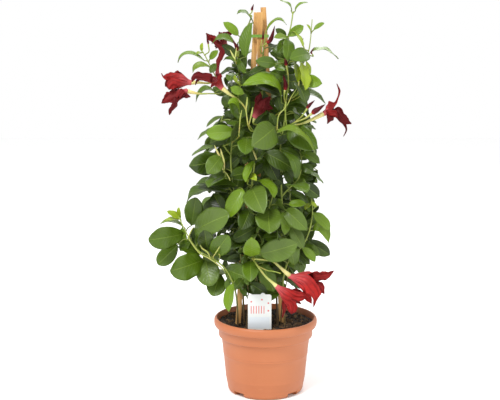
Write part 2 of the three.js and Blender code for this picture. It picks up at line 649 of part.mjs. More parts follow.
// Stalks: each starts beside a stem and is a tube through [X, Z, y, radius]; further arms grow
// out of its first one.
const STALKS = {
  stalk_far_left_up: {
    from: 'vine_left', arms: [
      [[-72, 449, -32, 0.9], [-81, 446.5, -36, 1.2], [-94, 447.5, -40, 1.8], [-106, 447.5, -42, 3.4]],
    ],
  },
  stalk_far_left_low: {
    from: 'vine_left', arms: [
      [[-66, 432, -36, 0.9], [-80, 432, -42, 0.9], [-95, 432, -46, 1.4], [-112, 435.5, -48, 3.2]],
    ],
  },
  stalk_centre: {
    from: 'vine_front', arms: [
      [[-22, 380, -40, 0.9], [-26, 390, -42, 0.9], [-29, 410, -42, 1.0], [-38, 422, -42, 1.3],
        [-51, 431, -44, 2], [-62, 440, -46, 3.6]],
    ],
  },
  stalk_deep: {
    from: 'vine_front', arms: [[[-18, 390, -36, 1.0], [-16, 399, -38, 2.4]]],
  },
  stalk_left_top: {
    from: 'vine_left', arms: [[[-46, 491, -10, 1.0], [-54, 496, -6, 3.0]]],
  },
  stalk_right: {
    from: 'vine_right', arms: [
      [[26, 385, -38, 0.9], [34, 387, -44, 1.1], [50, 389.5, -46, 1.4], [62, 394, -46, 2],
        [82, 404, -46, 3.6]],
      [[34, 387, -44, 0.9], [40, 391, -50, 0.9], [55, 397, -52, 1.1], [65, 404, -52, 1.8]],
      [[40, 391, -50, 0.8], [50.5, 400, -51, 0.8], [58, 411, -50, 1.4]],
    ],
  },
  stalk_right_high: {
    from: 'vine_right', arms: [
      [[25, 409, -34, 0.9], [27, 418, -38, 0.9], [31, 440, -38, 0.9], [31, 457, -34, 0.9],
        [28.5, 471, -31, 1.3]],
      [[27, 418, -38, 0.8], [25.5, 428, -41, 0.9], [26.6, 437, -41, 1.6]],
    ],
  },
  stalk_low: {
    from: 'vine_front', arms: [
      [[-19, 194, -56, 1.1], [0, 192.4, -61, 1.2], [11, 190, -62, 1.4], [21, 181.5, -62, 1.9],
        [35, 169, -62, 3.6]],
      [[-18, 193.6, -57, 1.1], [-12, 184, -66, 1.2], [0, 168, -69, 1.4], [10, 159, -69, 2],
        [16.5, 152.8, -69, 3.2]],
      [[-12, 184, -66, 0.8], [2, 177, -65, 0.8], [12, 175.5, -69, 0.8], [22, 172.5, -72, 0.8]],
    ],
  },
  stalk_bud_top_left: {
    from: 'vine_left', arms: [[[-20.2, 544.4, -9.5, 0.8], [-19.8, 547, -9, 1.1]]],
  },
  stalk_bud_top: {
    from: 'vine_front', arms: [
      [[-7.5, 489, -28, 0.8], [-8, 497, -30, 0.8], [-5.5, 507, -30, 1.0]],
      [[-8, 497, -30, 0.8], [-2, 500, -30, 0.8], [1, 502.5, -30, 1.4]],
    ],
  },
  stalk_bud_left: {
    from: 'vine_left', arms: [[[-40.5, 484, -22, 0.8], [-41, 492, -24, 1.3]]],
  },
  stalk_bud_far_left: {
    from: 'vine_left', arms: [[[-80, 491, -22, 0.8], [-81, 501, -22, 1.0]]],
  },
  stalk_bud_right: {
    from: 'vine_right', arms: [[[54, 494, -20, 0.8], [51, 501, -20, 0.9]]],
  },
  stalk_bud_right_high: {
    from: 'vine_right', arms: [[[66, 484, -20, 0.8], [64.5, 487.5, -21, 0.9]]],
  },
};
const STALK_SIDES = 4;
const STALK_LEAD = 2.2;

// The start of a stalk: a short lead square off the side of its stem.
function leadOff(curves, target) {
  const best = curves.map(({ curve, radius }) => ({ radius, ...nearestOn(curve, target) }))
    .reduce((a, b) => (a.gap < b.gap ? a : b));
  const out = sideOf(best.tangent, target.clone().sub(best.point));
  return [best.radius + CLEARANCE, best.radius + CLEARANCE + STALK_LEAD]
    .map((away) => best.point.clone().addScaledVector(out, away));
}

// Where each arm of each stalk ends, and its direction there: blooms and buds sit on these.
const stalkEnds = {};

function stalkSolid(name, { from, arms }, stems) {
  let solid = null;
  stalkEnds[name] = [];
  arms.forEach((arm, number) => {
    const points = arm.map(([x, z, y]) => place(x, z, y));
    const radii = arm.map(([, , , r]) => r);
    if (number === 0) {
      points.unshift(...leadOff(stems[from], points[0]));
      radii.unshift(radii[0], radii[0]);
    }
    const curve = curveThrough(points);
    const spans = points.length - 1;
    const stops = [];
    for (let i = 0; i < spans; i++) {
      const parts = points[i].distanceTo(points[i + 1]) > 11 ? 2 : 1;
      for (let k = 0; k < parts; k++) stops.push(i + k / parts);
    }
    stops.push(spans);
    let side = sideOf(curve.getTangent(0), new THREE.Vector3(0.3, 0.5, 1));
    const rings = stops.map((s) => {
      const i = Math.min(Math.floor(s), spans - 1);
      const radius = radii[i] + (radii[i + 1] - radii[i]) * (s - i);
      const tangent = curve.getTangent(s / spans);
      side = sideOf(tangent, side);
      return ringAt(curve.getPoint(s / spans), tangent, side, radius, STALK_SIDES);
    });
    const tube = solidOf(loft(rings));
    stalkEnds[name].push({ end: curve.getPoint(1), direction: curve.getTangent(1) });
    solid = solid ? solid.add(tube) : tube;
  });
  return solid;
}

// The end of a stalk's arm, and the place just clear of it.
function seat([stalk, arm], gap) {
  const { end, direction } = stalkEnds[stalk][arm];
  return { start: end.clone().addScaledVector(direction, gap), direction };
}

// Blooms: a funnel from the throat, on a stalk's arm, with five lobes. The mouth is the centre and
// radius of the ring where the lobes part; each lobe goes on over [X, Z, y, width] to its tip.
const BLOOMS = {
  bloom_far_left_up: {
    on: ['stalk_far_left_up', 0], mouth: [-121, 450, -44, 9.5],
    lobes: [
      [[-123.5, 459, -43, 10], [-133, 458.5, -43, 0]],
      [[-132, 455, -46, 13], [-140, 455.5, -47, 9], [-144.5, 456, -47, 2], [-147, 460.5, -47, 0]],
      [[-131, 446, -55, 14], [-136, 441, -57, 10], [-136.5, 437.5, -57, 0]],
      [[-126, 442.5, -45, 7], [-131, 440, -45, 0]],
      [[-130, 450, -36, 13], [-138, 447, -36, 10], [-142, 442, -36, 0]],
    ],
  },
  bloom_far_left_low: {
    on: ['stalk_far_left_low', 0], mouth: [-119, 432.5, -52, 6],
    lobes: [
      [[-131, 429, -52, 15], [-139, 425, -53, 13], [-144, 421, -53, 6], [-147.5, 418.5, -53, 0]],
      [[-126.5, 424, -56, 8], [-129.5, 415.5, -57, 7], [-135, 408.5, -57, 5.5], [-136.5, 402, -57, 0]],
      [[-112, 429.5, -59, 7], [-106.5, 427.5, -60, 0]],
      [[-121, 429.5, -61, 5], [-121.5, 424.5, -62, 0]],
      [[-124, 434, -43, 9], [-130, 436, -40, 6], [-136, 435, -40, 0]],
    ],
  },
  bloom_centre: {
    on: ['stalk_centre', 0], mouth: [-70, 451, -50, 7.5],
    lobes: [
      [[-80, 454, -52, 13], [-90, 456, -53, 10.5], [-98, 457, -53, 9], [-102, 454, -53, 6],
        [-104, 448.5, -53, 0]],
      [[-68.5, 461, -48, 6], [-67.5, 469, -46, 3.5], [-67, 477, -45, 6], [-63, 485, -44, 8],
        [-62, 492, -43, 6], [-67, 499, -42, 4], [-73, 503, -41, 0]],
      [[-74, 446, -57, 6], [-78, 440.5, -58, 0]],
      [[-77, 452, -42, 9], [-90, 453, -47, 5], [-97, 450, -48, 3], [-99.5, 444, -48, 0]],
      [[-65, 455, -57, 6], [-64, 461, -59, 0]],
    ],
  },
  bloom_left_top: {
    on: ['stalk_left_top', 0], mouth: [-62, 502, -2, 8],
    lobes: [
      [[-73, 508, -5, 10], [-78, 510, -6, 8], [-84, 516, -6, 0]],
      [[-58, 512.5, -7, 10], [-52, 515.5, -9, 6], [-48, 514.5, -10, 0]],
      [[-68, 500, 4, 11], [-72, 498, 6, 0]],
      [[-60, 493, 5, 8], [-60, 484, 7, 0]],
      [[-64, 511, 5, 11], [-66, 518, 10, 0]],
    ],
  },
  bloom_deep: {
    on: ['stalk_deep', 0], mouth: [-8, 413, -40, 7.5],
    lobes: [
      [[-10, 424, -38, 10], [-7, 433, -37, 0]],
      [[0, 422, -41, 11], [6, 428, -42, 0]],
      [[2, 413, -38, 9], [10, 411, -36, 0]],
      [[-6, 417, -48, 9], [-1, 425, -50, 0]],
      [[-12, 421, -33, 8], [-14, 428, -31, 0]],
    ],
  },
  bloom_right: {
    on: ['stalk_right', 0], mouth: [90, 408, -49, 7.5],
    lobes: [
      [[91, 415.5, -47, 13], [97.5, 418.5, -46, 4], [101.5, 427, -46, 2.2], [103.3, 436, -46, 2.6],
        [99.5, 446, -46, 0]],
      [[100.5, 406.5, -54, 14], [107.5, 399.5, -55, 11], [113.5, 393, -55, 9], [121, 389.5, -55, 0]],
      [[101, 402, -44, 9], [110, 391, -43, 5], [114, 381, -43, 2.2], [110, 371.5, -43, 0]],
      [[92, 400.5, -53, 12], [87, 389.5, -53, 0]],
      [[98, 403.5, -61, 9], [101.5, 398.5, -62, 0]],
    ],
  },
  bloom_low_right: {
    on: ['stalk_low', 0], mouth: [58, 161, -68, 13],
    lobes: [
      [[71, 168.5, -66, 17], [83, 169, -67, 14], [91, 171, -67, 9], [99, 176.5, -67, 0]],
      [[75, 155, -60, 14], [81, 150, -58, 11], [85.5, 142, -58, 0]],
      [[67, 150, -82, 20], [73, 141, -85, 14], [72, 132, -85, 5], [70, 122.5, -85, 0]],
      [[57, 146, -76, 13], [62, 137, -77, 11], [67, 127.5, -77, 0]],
      [[67, 167, -53, 14], [80, 165, -51, 0]],
    ],
  },
  bloom_low_centre: {
    on: ['stalk_low', 1], mouth: [31, 141, -73, 9],
    lobes: [
      [[27, 129, -74, 7], [27.5, 119, -75, 5], [24.5, 106.5, -75, 0]],
      [[37, 128, -83, 15], [39.5, 119, -86, 14], [38, 112, -86, 0]],
      [[45, 139, -79, 13], [54, 138, -80, 10], [59.5, 138, -80, 0]],
      [[39, 145.5, -64, 8], [49, 145, -58, 6], [57, 140, -57, 0]],
      [[41, 134, -65, 10], [52, 127, -64, 0]],
    ],
  },
};
const FUNNEL_THICKNESS = 0.9;
const LOBE_THICKNESS = 0.7;         // less than the funnel's, so that a lobe's root lies inside its wall
const LOBE_ROOT = 0.88;             // how far out in the funnel's wall a lobe's root lies
const LOBE_GAP = 0.9;               // a lobe's root against its fifth of the ring
const THROAT_RADIUS = 4.4;
const LOBE_TWIST = 0.75;            // how far each step of a lobe turns its face to the front
const LOBE_PULL = 0.35;             // how far a lobe's root turns from its even place to its own

// A closed shell: a sheet of triangles thickened to both sides along its point normals.
function shellSolid(points, faces, thickness) {
  const normals = points.map(() => new THREE.Vector3());
  const edges = new Map();
  for (const face of faces) {
    const [a, b, c] = face.map((i) => points[i]);
    const normal = new THREE.Vector3().crossVectors(b.clone().sub(a), c.clone().sub(a));
    face.forEach((i) => normals[i].add(normal));
    face.forEach((i, k) => {
      const j = face[(k + 1) % 3];
      if (edges.has(`${j},${i}`)) edges.delete(`${j},${i}`);
      else edges.set(`${i},${j}`, [i, j]);
    });
  }
  normals.forEach((n) => n.normalize());
  const up = points.map((p, i) => p.clone().addScaledVector(normals[i], thickness / 2));
  const down = points.map((p, i) => p.clone().addScaledVector(normals[i], -thickness / 2));
  const triangles = faces.flatMap(([a, b, c]) => [[up[a], up[b], up[c]], [down[a], down[c], down[b]]]);
  for (const [a, b] of edges.values()) {
    triangles.push([up[a], down[a], down[b]], [up[a], down[b], up[b]]);
  }
  return solidOf(closedGeometry(triangles));
}

function bloomSolid({ on, mouth, lobes }) {
  const { start } = seat(on, CLEARANCE + FUNNEL_THICKNESS / 2);
  const centre = place(mouth[0], mouth[1], mouth[2]);
  const axis = centre.clone().sub(start).normalize();
  const first = sideOf(axis, new THREE.Vector3(0.2, 0.3, 1));
  const second = new THREE.Vector3().crossVectors(axis, first);
  const spines = lobes.map((stations) => {
    const points = stations.map(([x, z, y]) => place(x, z, y));
    const away = points[0].clone().sub(centre);
    return { points, widths: stations.map((p) => p[3]), turn: Math.atan2(away.dot(second), away.dot(first)) };
  }).sort((a, b) => a.turn - b.turn);
  const turns = spines.map(({ turn }, i) => {
    const even = (2 * Math.PI * (i + 0.5)) / 5 - Math.PI;
    return even + LOBE_PULL * (turn - even);
  });
  const around = (middle, radius, turn) => middle.clone().addScaledVector(first, radius * Math.cos(turn))
    .addScaledVector(second, radius * Math.sin(turn));
  const throatCentre = start.clone().addScaledVector(axis, 4);
  const throat = [];
  const rim = [];
  turns.forEach((turn, i) => {
    const after = turns[(i + 1) % 5] + (i === 4 ? 2 * Math.PI : 0);
    const between = (turn + after) / 2;
    throat.push(around(throatCentre, THROAT_RADIUS, turn), around(throatCentre, THROAT_RADIUS, between));
    rim.push(around(centre, 1.12 * mouth[3], turn), around(centre, mouth[3], between));
  });
  const funnelFaces = throat.flatMap((_, k) => {
    const [low, lowNext] = [1 + k, 1 + (k + 1) % 10];
    return [[0, low, lowNext], [low, low + 10, lowNext + 10], [low, lowNext + 10, lowNext]];
  });
  const funnel = shellSolid([start, ...throat, ...rim], funnelFaces, FUNNEL_THICKNESS);
  const blades = spines.map(({ points, widths }, i) => {
    const columns = [(2 * i + 9) % 10, 2 * i, 2 * i + 1];
    const [left, middle, right] = columns.map((k) => throat[k].clone().lerp(rim[k], LOBE_ROOT));
    const root = [middle.clone().lerp(left, LOBE_GAP), middle, middle.clone().lerp(right, LOBE_GAP)];
    return lobeSolid(root, points, widths);
  });
  return blades.reduce((sum, blade) => sum.add(blade), funnel);
}

// A lobe: a thin blade in rows of three points, from its root row on over its spine to its tip.
function lobeSolid(root, spine, widths) {
  const points = [...root];
  let across = root[2].clone().sub(root[0]).normalize();
  spine.slice(0, -1).forEach((point, n) => {
    const before = n === 0 ? root[1] : spine[n - 1];
    const direction = spine[n + 1].clone().sub(before).normalize();
    const facing = new THREE.Vector3().crossVectors(direction, new THREE.Vector3(0, 1, 0));
    if (facing.dot(across) < 0) facing.negate();
    across = sideOf(direction, across.lerp(facing, LOBE_TWIST));
    points.push(point.clone().addScaledVector(across, -widths[n] / 2), point,
      point.clone().addScaledVector(across, widths[n] / 2));
  });
  const tip = points.length;
  const faces = [[tip - 3, tip, tip - 2], [tip - 2, tip, tip - 1]];
  for (let k = 0; k + 3 < tip; k += 3) {
    faces.push([k, k + 3, k + 4], [k, k + 4, k + 1], [k + 1, k + 4, k + 5], [k + 1, k + 5, k + 2]);
  }
  return shellSolid([...points, spine.at(-1)], faces, LOBE_THICKNESS);
}

// Buds: spindles on the end of a stalk's arm, [stalk, arm, tip X, Z, y, diameter].
const BUDS = {
  bud_top_left: ['stalk_bud_top_left', 0, -17.5, 556, -8, 3.5],
  bud_top_front: ['stalk_bud_top', 1, 12, 526.5, -32, 6],
  bud_top_thin: ['stalk_bud_top', 0, -4.7, 522, -31, 3],
  bud_left: ['stalk_bud_left', 0, -47, 507, -27, 5],
  bud_far_left: ['stalk_bud_far_left', 0, -83.5, 514, -22, 3],
  bud_right_inner: ['stalk_right_high', 0, 27.7, 487, -30, 5],
  bud_right_high: ['stalk_bud_right_high', 0, 67.6, 497, -23, 2.5],
  bud_right_mid: ['stalk_bud_right', 0, 52, 509.5, -20, 2.4],
  bud_right_dark: ['stalk_right_high', 1, 24, 460, -42, 6],
  bud_right_low: ['stalk_right', 2, 69, 423, -50, 5],
  bud_right_long: ['stalk_right', 1, 83.7, 417, -54, 7.5],
};
const BUD_STATIONS = [[0.3, 0.95], [0.6, 0.9], [0.86, 0.4]];

function budSolid([stalk, arm, x, z, y, diameter]) {
  const { start, direction } = seat([stalk, arm], CLEARANCE);
  const tip = place(x, z, y);
  const along = tip.clone().sub(start).normalize();
  const across = new THREE.Vector3(0.3, 0.5, 1);
  const rings = BUD_STATIONS.map(([t, share]) => (
    ringAt(start.clone().lerp(tip, t), along, across, (diameter / 2) * share, 6)));
  rings.unshift(ringAt(start, direction, across, 0.21 * diameter, 6));
  rings.push(Array(6).fill(tip));
  return solidOf(loft(rings));
}

// ---------------------------------------------------------------- the whole plant

const placed = [];               // solids that later pieces must clear

function remember(solid, owner, stem) {
  const { min, max } = solid.boundingBox();
  placed.push({ solid, owner, stem, box: new THREE.Box3(vec(min), vec(max)) });
}

function isClear(solid, skip) {
  const { min, max } = solid.boundingBox();
  const box = new THREE.Box3(vec(min), vec(max));
  return placed.every((other) => skip(other) || !box.intersectsBox(other.box)
    || solid.intersect(other.solid).isEmpty());
}

const finish = (color, roughness) => new THREE.MeshStandardMaterial({ color, roughness, metalness: 0 });
const terracotta = finish(0xd98f66, 0.6);
const earth = finish(0x3a2a20, 0.95);
const lath = finish(0xd8b070, 0.7);
const band = finish(0x6f9a3a, 0.6);
const card = finish(0xf2f3f1, 0.5);
const foliage = finish(0x3f7a32, 0.45);
const paleGreen = finish(0xd9d79a, 0.6);
const petal = finish(0xa01e2c, 0.6);
const budRed = finish(0x7a1420, 0.5);

const group = new THREE.Group();

function addNode(name, solid, material) {
  const mesh = new THREE.Mesh(geometryOf(solid), material);
  mesh.name = name;
  group.add(mesh);
}

function addObstacle(name, solid, material) {
  remember(solid, name, false);
  addNode(name, solid, material);
}

addObstacle('pot', makePot(), terracotta);
addObstacle('soil', makeSoil(), earth);
for (const [name, cane] of Object.entries(CANES)) addObstacle(name, caneBox(cane, 0), lath);
addObstacle('tie', makeTie(), band);
addObstacle('label', labelSolid(0), card);

const stemCurvesByName = {};
const stemSolids = {};
for (const [name, stem] of Object.entries(STEMS)) {
  stemCurvesByName[name] = stemCurves(stem).map((curve, i) => (
    { curve, radius: i === 0 ? stem.radius : BRANCH_RADIUS }));
  stemSolids[name] = stemCurvesByName[name].map(({ curve, radius }) => stemTube(curve, radius))
    .reduce((sum, tube) => sum.add(tube));
  remember(stemSolids[name], name, true);
}
for (const [name, stalk] of Object.entries(STALKS)) {
  addObstacle(name, stalkSolid(name, stalk, stemCurvesByName), paleGreen);
}
for (const [name, bloom] of Object.entries(BLOOMS)) addObstacle(name, bloomSolid(bloom), petal);
for (const [name, bud] of Object.entries(BUDS)) addObstacle(name, budSolid(bud), budRed);

// The place on a stem's centre lines that a leaf's petiole grows from, a little below its base.
const PETIOLE_DROP = 4;

function petioleRoot(name, base) {
  const aim = base.clone().setZ(base.z - PETIOLE_DROP);
  return stemCurvesByName[name].map(({ curve }) => nearestOn(curve, aim))
    .reduce((a, b) => (a.gap < b.gap ? a : b)).point;
}

function growLeaf(name, candidates) {
  for (const leaf of candidates) {
    const loose = leafSolids(leaf, CLEARANCE + 0.05);
    const clear = isClear(loose.blade, () => false)
      && isClear(loose.petiole, (other) => other.owner === name);
    if (clear) {
      const { whole } = leafSolids(leaf, 0);
      remember(whole, name, false);
      stemSolids[name] = stemSolids[name].add(whole);
      return;
    }
  }
}

for (const layer of [0, 1, 2]) {
  for (const [name, rows] of Object.entries(LEAVES)) {
    const nearest = (base) => petioleRoot(name, base);
    for (const row of rows.filter((r) => r[5] === layer)) {
      growLeaf(name, NUDGES.map((nudge) => seenLeaf(row, nudge, nearest)));
    }
  }
}
const random = randomSource(1907);
for (const name of Object.keys(FACING)) {
  for (const trials of ruleLeaves(name, stemCurvesByName[name][0].curve, random)) growLeaf(name, trials);
}
for (const name of Object.keys(STEMS)) addNode(name, stemSolids[name], foliage);

export default group;
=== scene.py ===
"""A climbing mandevilla on three canes in a terracotta-coloured pot.

Lengths are in millimetres until a mesh is made. The plant is set out on its front elevation, the
plane y = 0, as [X, Z], and pushed to its depth y along the line of sight from EYE, as in the CAD part.
"""
import math
import random

import bpy
import numpy as np
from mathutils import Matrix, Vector, kdtree


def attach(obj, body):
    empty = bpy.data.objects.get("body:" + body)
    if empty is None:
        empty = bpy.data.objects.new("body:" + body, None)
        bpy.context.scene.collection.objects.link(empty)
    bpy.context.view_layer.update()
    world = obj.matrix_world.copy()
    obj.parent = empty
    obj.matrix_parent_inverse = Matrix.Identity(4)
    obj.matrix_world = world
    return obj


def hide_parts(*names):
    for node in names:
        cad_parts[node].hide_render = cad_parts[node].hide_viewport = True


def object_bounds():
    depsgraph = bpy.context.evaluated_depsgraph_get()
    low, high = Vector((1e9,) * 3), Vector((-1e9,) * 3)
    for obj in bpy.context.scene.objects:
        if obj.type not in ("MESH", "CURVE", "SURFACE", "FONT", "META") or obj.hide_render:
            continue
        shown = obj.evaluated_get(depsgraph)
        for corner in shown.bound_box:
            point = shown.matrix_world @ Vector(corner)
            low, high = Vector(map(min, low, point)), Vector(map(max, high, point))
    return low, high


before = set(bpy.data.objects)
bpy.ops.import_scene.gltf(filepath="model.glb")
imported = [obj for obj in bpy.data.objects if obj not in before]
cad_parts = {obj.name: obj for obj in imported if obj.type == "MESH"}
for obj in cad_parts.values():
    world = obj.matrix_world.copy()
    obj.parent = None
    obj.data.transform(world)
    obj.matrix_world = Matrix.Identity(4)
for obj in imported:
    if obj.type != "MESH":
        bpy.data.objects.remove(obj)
cad_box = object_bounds()

MM = 0.001
TURN = 6.28                  # a whole turn, near enough for a drawn angle
ROOT = "root"
EYE = np.array([-22.6, -1400.0, 499.0])


def place(x, z, y):
    """The point at depth y that is seen at (x, z) on the front elevation."""
    scale = (y - EYE[1]) / -EYE[1]
    return np.array([EYE[0] + (x - EYE[0]) * scale, y, EYE[2] + (z - EYE[2]) * scale])


def unit(v):
    """A vector of length 1."""
    return v / max(np.linalg.norm(v), 1e-9)


def side_of(tangent, wanted):
    """The direction square to a tangent that is nearest to the wanted one."""
    return unit(wanted - np.dot(wanted, tangent) * tangent)


def smoothstep(low, high, value):
    """A soft change from 0 at low to 1 at high."""
    t = np.clip((value - low) / (high - low), 0.0, 1.0)
    return t * t * (3 - 2 * t)


# ------------------------------------------------------------------ camera, light and floor

CAMERA_PITCH = math.radians(81.12)
CAMERA_LENS = 71.2           # mm, on a sensor 36 mm wide
camera_data = bpy.data.cameras.new("camera")
camera_data.lens = CAMERA_LENS
camera_data.sensor_width = 36.0
camera = bpy.data.objects.new("camera", camera_data)
camera.location = EYE * MM
camera.rotation_euler = (CAMERA_PITCH, 0.0, 0.0)
bpy.context.scene.collection.objects.link(camera)
bpy.context.scene.camera = camera
bpy.context.scene.view_settings.view_transform = "Standard"


def area_light(name, location, aim, size, power):
    """A round lamp at a place in metres, aimed at another."""
    data = bpy.data.lights.new(name, "AREA")
    data.shape = "DISK"
    data.size = size
    data.energy = power
    light = bpy.data.objects.new(name, data)
    light.location = location
    direction = Vector(aim) - Vector(location)
    light.rotation_euler = direction.to_track_quat("-Z", "Y").to_euler()
    bpy.context.scene.collection.objects.link(light)


# Name, place, aim, size in metres and power in watts.
for lamp in (("key_light", (-0.8, -1.2, 1.9), (0, 0, 0.3), 0.8, 42),
             ("fill_light", (1.4, -1.1, 0.9), (0, 0, 0.3), 1.3, 8),
             ("back_light", (0.3, 1.4, 1.5), (0, 0, 0.35), 1.2, 12)):
    area_light(*lamp)

world = bpy.data.worlds.new("studio")
world.use_nodes = True
background = world.node_tree.nodes["Background"].inputs
background["Color"].default_value = (1.0, 1.0, 1.0, 1.0)
background["Strength"].default_value = 1.0
bpy.context.scene.world = world


# ------------------------------------------------------------------ materials

class Paint:
    """A node material with a Principled shader, and short ways to add nodes."""

    def __init__(self, name, roughness, **values):
        self.material = bpy.data.materials.new(name)
        self.material.use_nodes = True
        self.tree = self.material.node_tree
        self.shader = self.tree.nodes["Principled BSDF"]
        self.set("Roughness", roughness)
        for key, value in values.items():
            self.set(key.replace("_", " "), value)

    def set(self, socket, value):
        self.shader.inputs[socket].default_value = value

    def node(self, kind, **values):
        node = self.tree.nodes.new("ShaderNode" + kind)
        for key, value in values.items():
            setattr(node, key, value)
        return node

    def link(self, source, target):
        self.tree.links.new(source, target)

    def feed(self, target, value):
        if isinstance(value, bpy.types.NodeSocket):
            self.link(value, target)
        else:
            target.default_value = value

    def math(self, operation, a, b=0.0):
        node = self.node("Math", operation=operation)
        self.feed(node.inputs[0], a)
        self.feed(node.inputs[1], b)
        return node.outputs[0]

    def scaled(self, value, factor):
        return self.math("MULTIPLY", value, factor)

    def inverse(self, value):
        return self.math("SUBTRACT", 1.0, value)

    def mix(self, share, a, b):
        node = self.node("Mix", data_type="RGBA")
        self.feed(node.inputs["Factor"], share)
        self.feed(node.inputs["A"], a)
        self.feed(node.inputs["B"], b)
        return node.outputs["Result"]

    def ramp(self, value, low, high):
        """0 below low and 1 above high, with a soft change between."""
        node = self.node("MapRange", interpolation_type="SMOOTHSTEP")
        self.feed(node.inputs["Value"], value)
        node.inputs["From Min"].default_value = low
        node.inputs["From Max"].default_value = high
        return node.outputs["Result"]

    def noise(self, scale, detail=3.0, stretch=(1, 1, 1)):
        coordinates = self.node("TexCoord")
        mapping = self.node("Mapping")
        mapping.inputs["Scale"].default_value = stretch
        self.link(coordinates.outputs["Object"], mapping.inputs["Vector"])
        node = self.node("TexNoise")
        node.inputs["Scale"].default_value = scale
        node.inputs["Detail"].default_value = detail
        self.link(mapping.outputs["Vector"], node.inputs["Vector"])
        return node.outputs["Fac"]

    def attribute(self, name):
        node = self.node("Attribute", attribute_name=name)
        split = self.node("SeparateColor")
        self.link(node.outputs["Color"], split.inputs["Color"])
        return split.outputs

    def uv(self):
        node = self.node("UVMap", uv_map="UVMap")
        split = self.node("SeparateXYZ")
        self.link(node.outputs["UV"], split.inputs["Vector"])
        return split.outputs

    def color(self, value):
        self.feed(self.shader.inputs["Base Color"], value)

    def bump(self, height, strength, distance):
        node = self.node("Bump")
        node.inputs["Strength"].default_value = strength
        node.inputs["Distance"].default_value = distance
        self.link(height, node.inputs["Height"])
        self.link(node.outputs["Normal"], self.shader.inputs["Normal"])


def rgb(red, green, blue):
    """A colour given by its screen values, 0 to 255."""
    def linear(v):
        v /= 255
        return v / 12.92 if v <= 0.04045 else ((v + 0.055) / 1.055) ** 2.4
    return (linear(red), linear(green), linear(blue), 1.0)


def leaf_paint(name, dark, bright, young, vein, vein_share, sheen, roughness):
    """Leaf skin, with a painted sheen and a painted lit half. The tint holds tone, youth and painted sheen; u
    runs across, v along.
    """
    paint = Paint(name, roughness, Specular_IOR_Level=0.34)
    tone, youth, painted_sheen_share = paint.attribute("tint")
    u, v, _ = paint.uv()
    across = paint.math("ABSOLUTE", paint.math("SUBTRACT", u, 0.5))
    midrib = paint.inverse(paint.ramp(across, 0.004, 0.024))
    slant = paint.math("ADD", paint.scaled(v, 9.0), paint.scaled(across, -5.0))
    wave = paint.math("ABSOLUTE", paint.math("SUBTRACT", paint.math("FRACT", slant), 0.5))
    side_veins = paint.inverse(paint.ramp(wave, 0.0, 0.16))
    # Painted light: one half of the blade, across the midrib, is mixed toward the bright colour, as if lit
    # from that side.
    half = paint.ramp(u, 0.36, 0.64)
    mottle = paint.ramp(paint.noise(34.0), 0.3, 0.7)
    body = paint.mix(tone, dark, bright)
    body = paint.mix(paint.scaled(mottle, 0.16), body, bright)
    body = paint.mix(paint.scaled(half, 0.16), body, bright)
    body = paint.mix(youth, body, young)
    # Painted sheen: a grey-green highlight colour, mixed in as far as the tint's third channel asks.
    body = paint.mix(paint.scaled(painted_sheen_share, 0.5), body, sheen)
    body = paint.mix(paint.scaled(side_veins, 0.05), body, vein)
    body = paint.mix(paint.math("MULTIPLY", midrib, vein_share), body, vein)
    paint.color(body)
    relief = paint.math("ADD", paint.scaled(side_veins, -0.5), paint.scaled(midrib, -0.6))
    paint.bump(relief, 0.5, 0.0007)
    return paint.material


# Each side: dark, bright, young and vein colours, vein share, the painted sheen colour and roughness.
LEAF_TOP = leaf_paint("leaf_upper_side", rgb(18, 32, 1), rgb(92, 124, 9), rgb(144, 161, 32),
                      rgb(128, 150, 58), 0.5, rgb(99, 119, 52), 0.34)
LEAF_UNDER = leaf_paint("leaf_under_side", rgb(46, 63, 12), rgb(96, 122, 24), rgb(144, 158, 42),
                        rgb(140, 158, 70), 0.5, rgb(104, 122, 70), 0.6)


def stem_paint():
    """Bark: brown and rough where old, green where young."""
    paint = Paint("stem_bark", 0.6)
    tone, youth, _ = paint.attribute("tint")
    old = paint.mix(paint.ramp(paint.noise(60.0, 4.0, (1, 1, 0.2)), 0.35, 0.65), rgb(70, 52, 26),
                    rgb(104, 84, 44))
    paint.color(paint.mix(youth, old, paint.mix(tone, rgb(96, 116, 40), rgb(138, 152, 62))))
    paint.bump(paint.noise(220.0, 3.0, (1, 1, 0.25)), 0.3, 0.0004)
    return paint.material


STEM = stem_paint()


def stalk_paint():
    """Flower tubes and bud stalks: pale yellow-green, flushed where they are young."""
    paint = Paint("flower_tube", 0.45, Subsurface_Weight=0.15)
    paint.shader.inputs["Subsurface Radius"].default_value = (0.003, 0.003, 0.001)
    tone, youth, _ = paint.attribute("tint")
    body = paint.mix(youth, rgb(128, 144, 48), rgb(206, 198, 128))
    body = paint.mix(paint.scaled(paint.ramp(paint.noise(90.0), 0.45, 0.7), 0.3), body,
                     rgb(196, 150, 92))
    paint.color(body)
    paint.bump(paint.noise(150.0, 2.0, (1, 1, 0.3)), 0.2, 0.0004)
    return paint.material


STALK = stalk_paint()


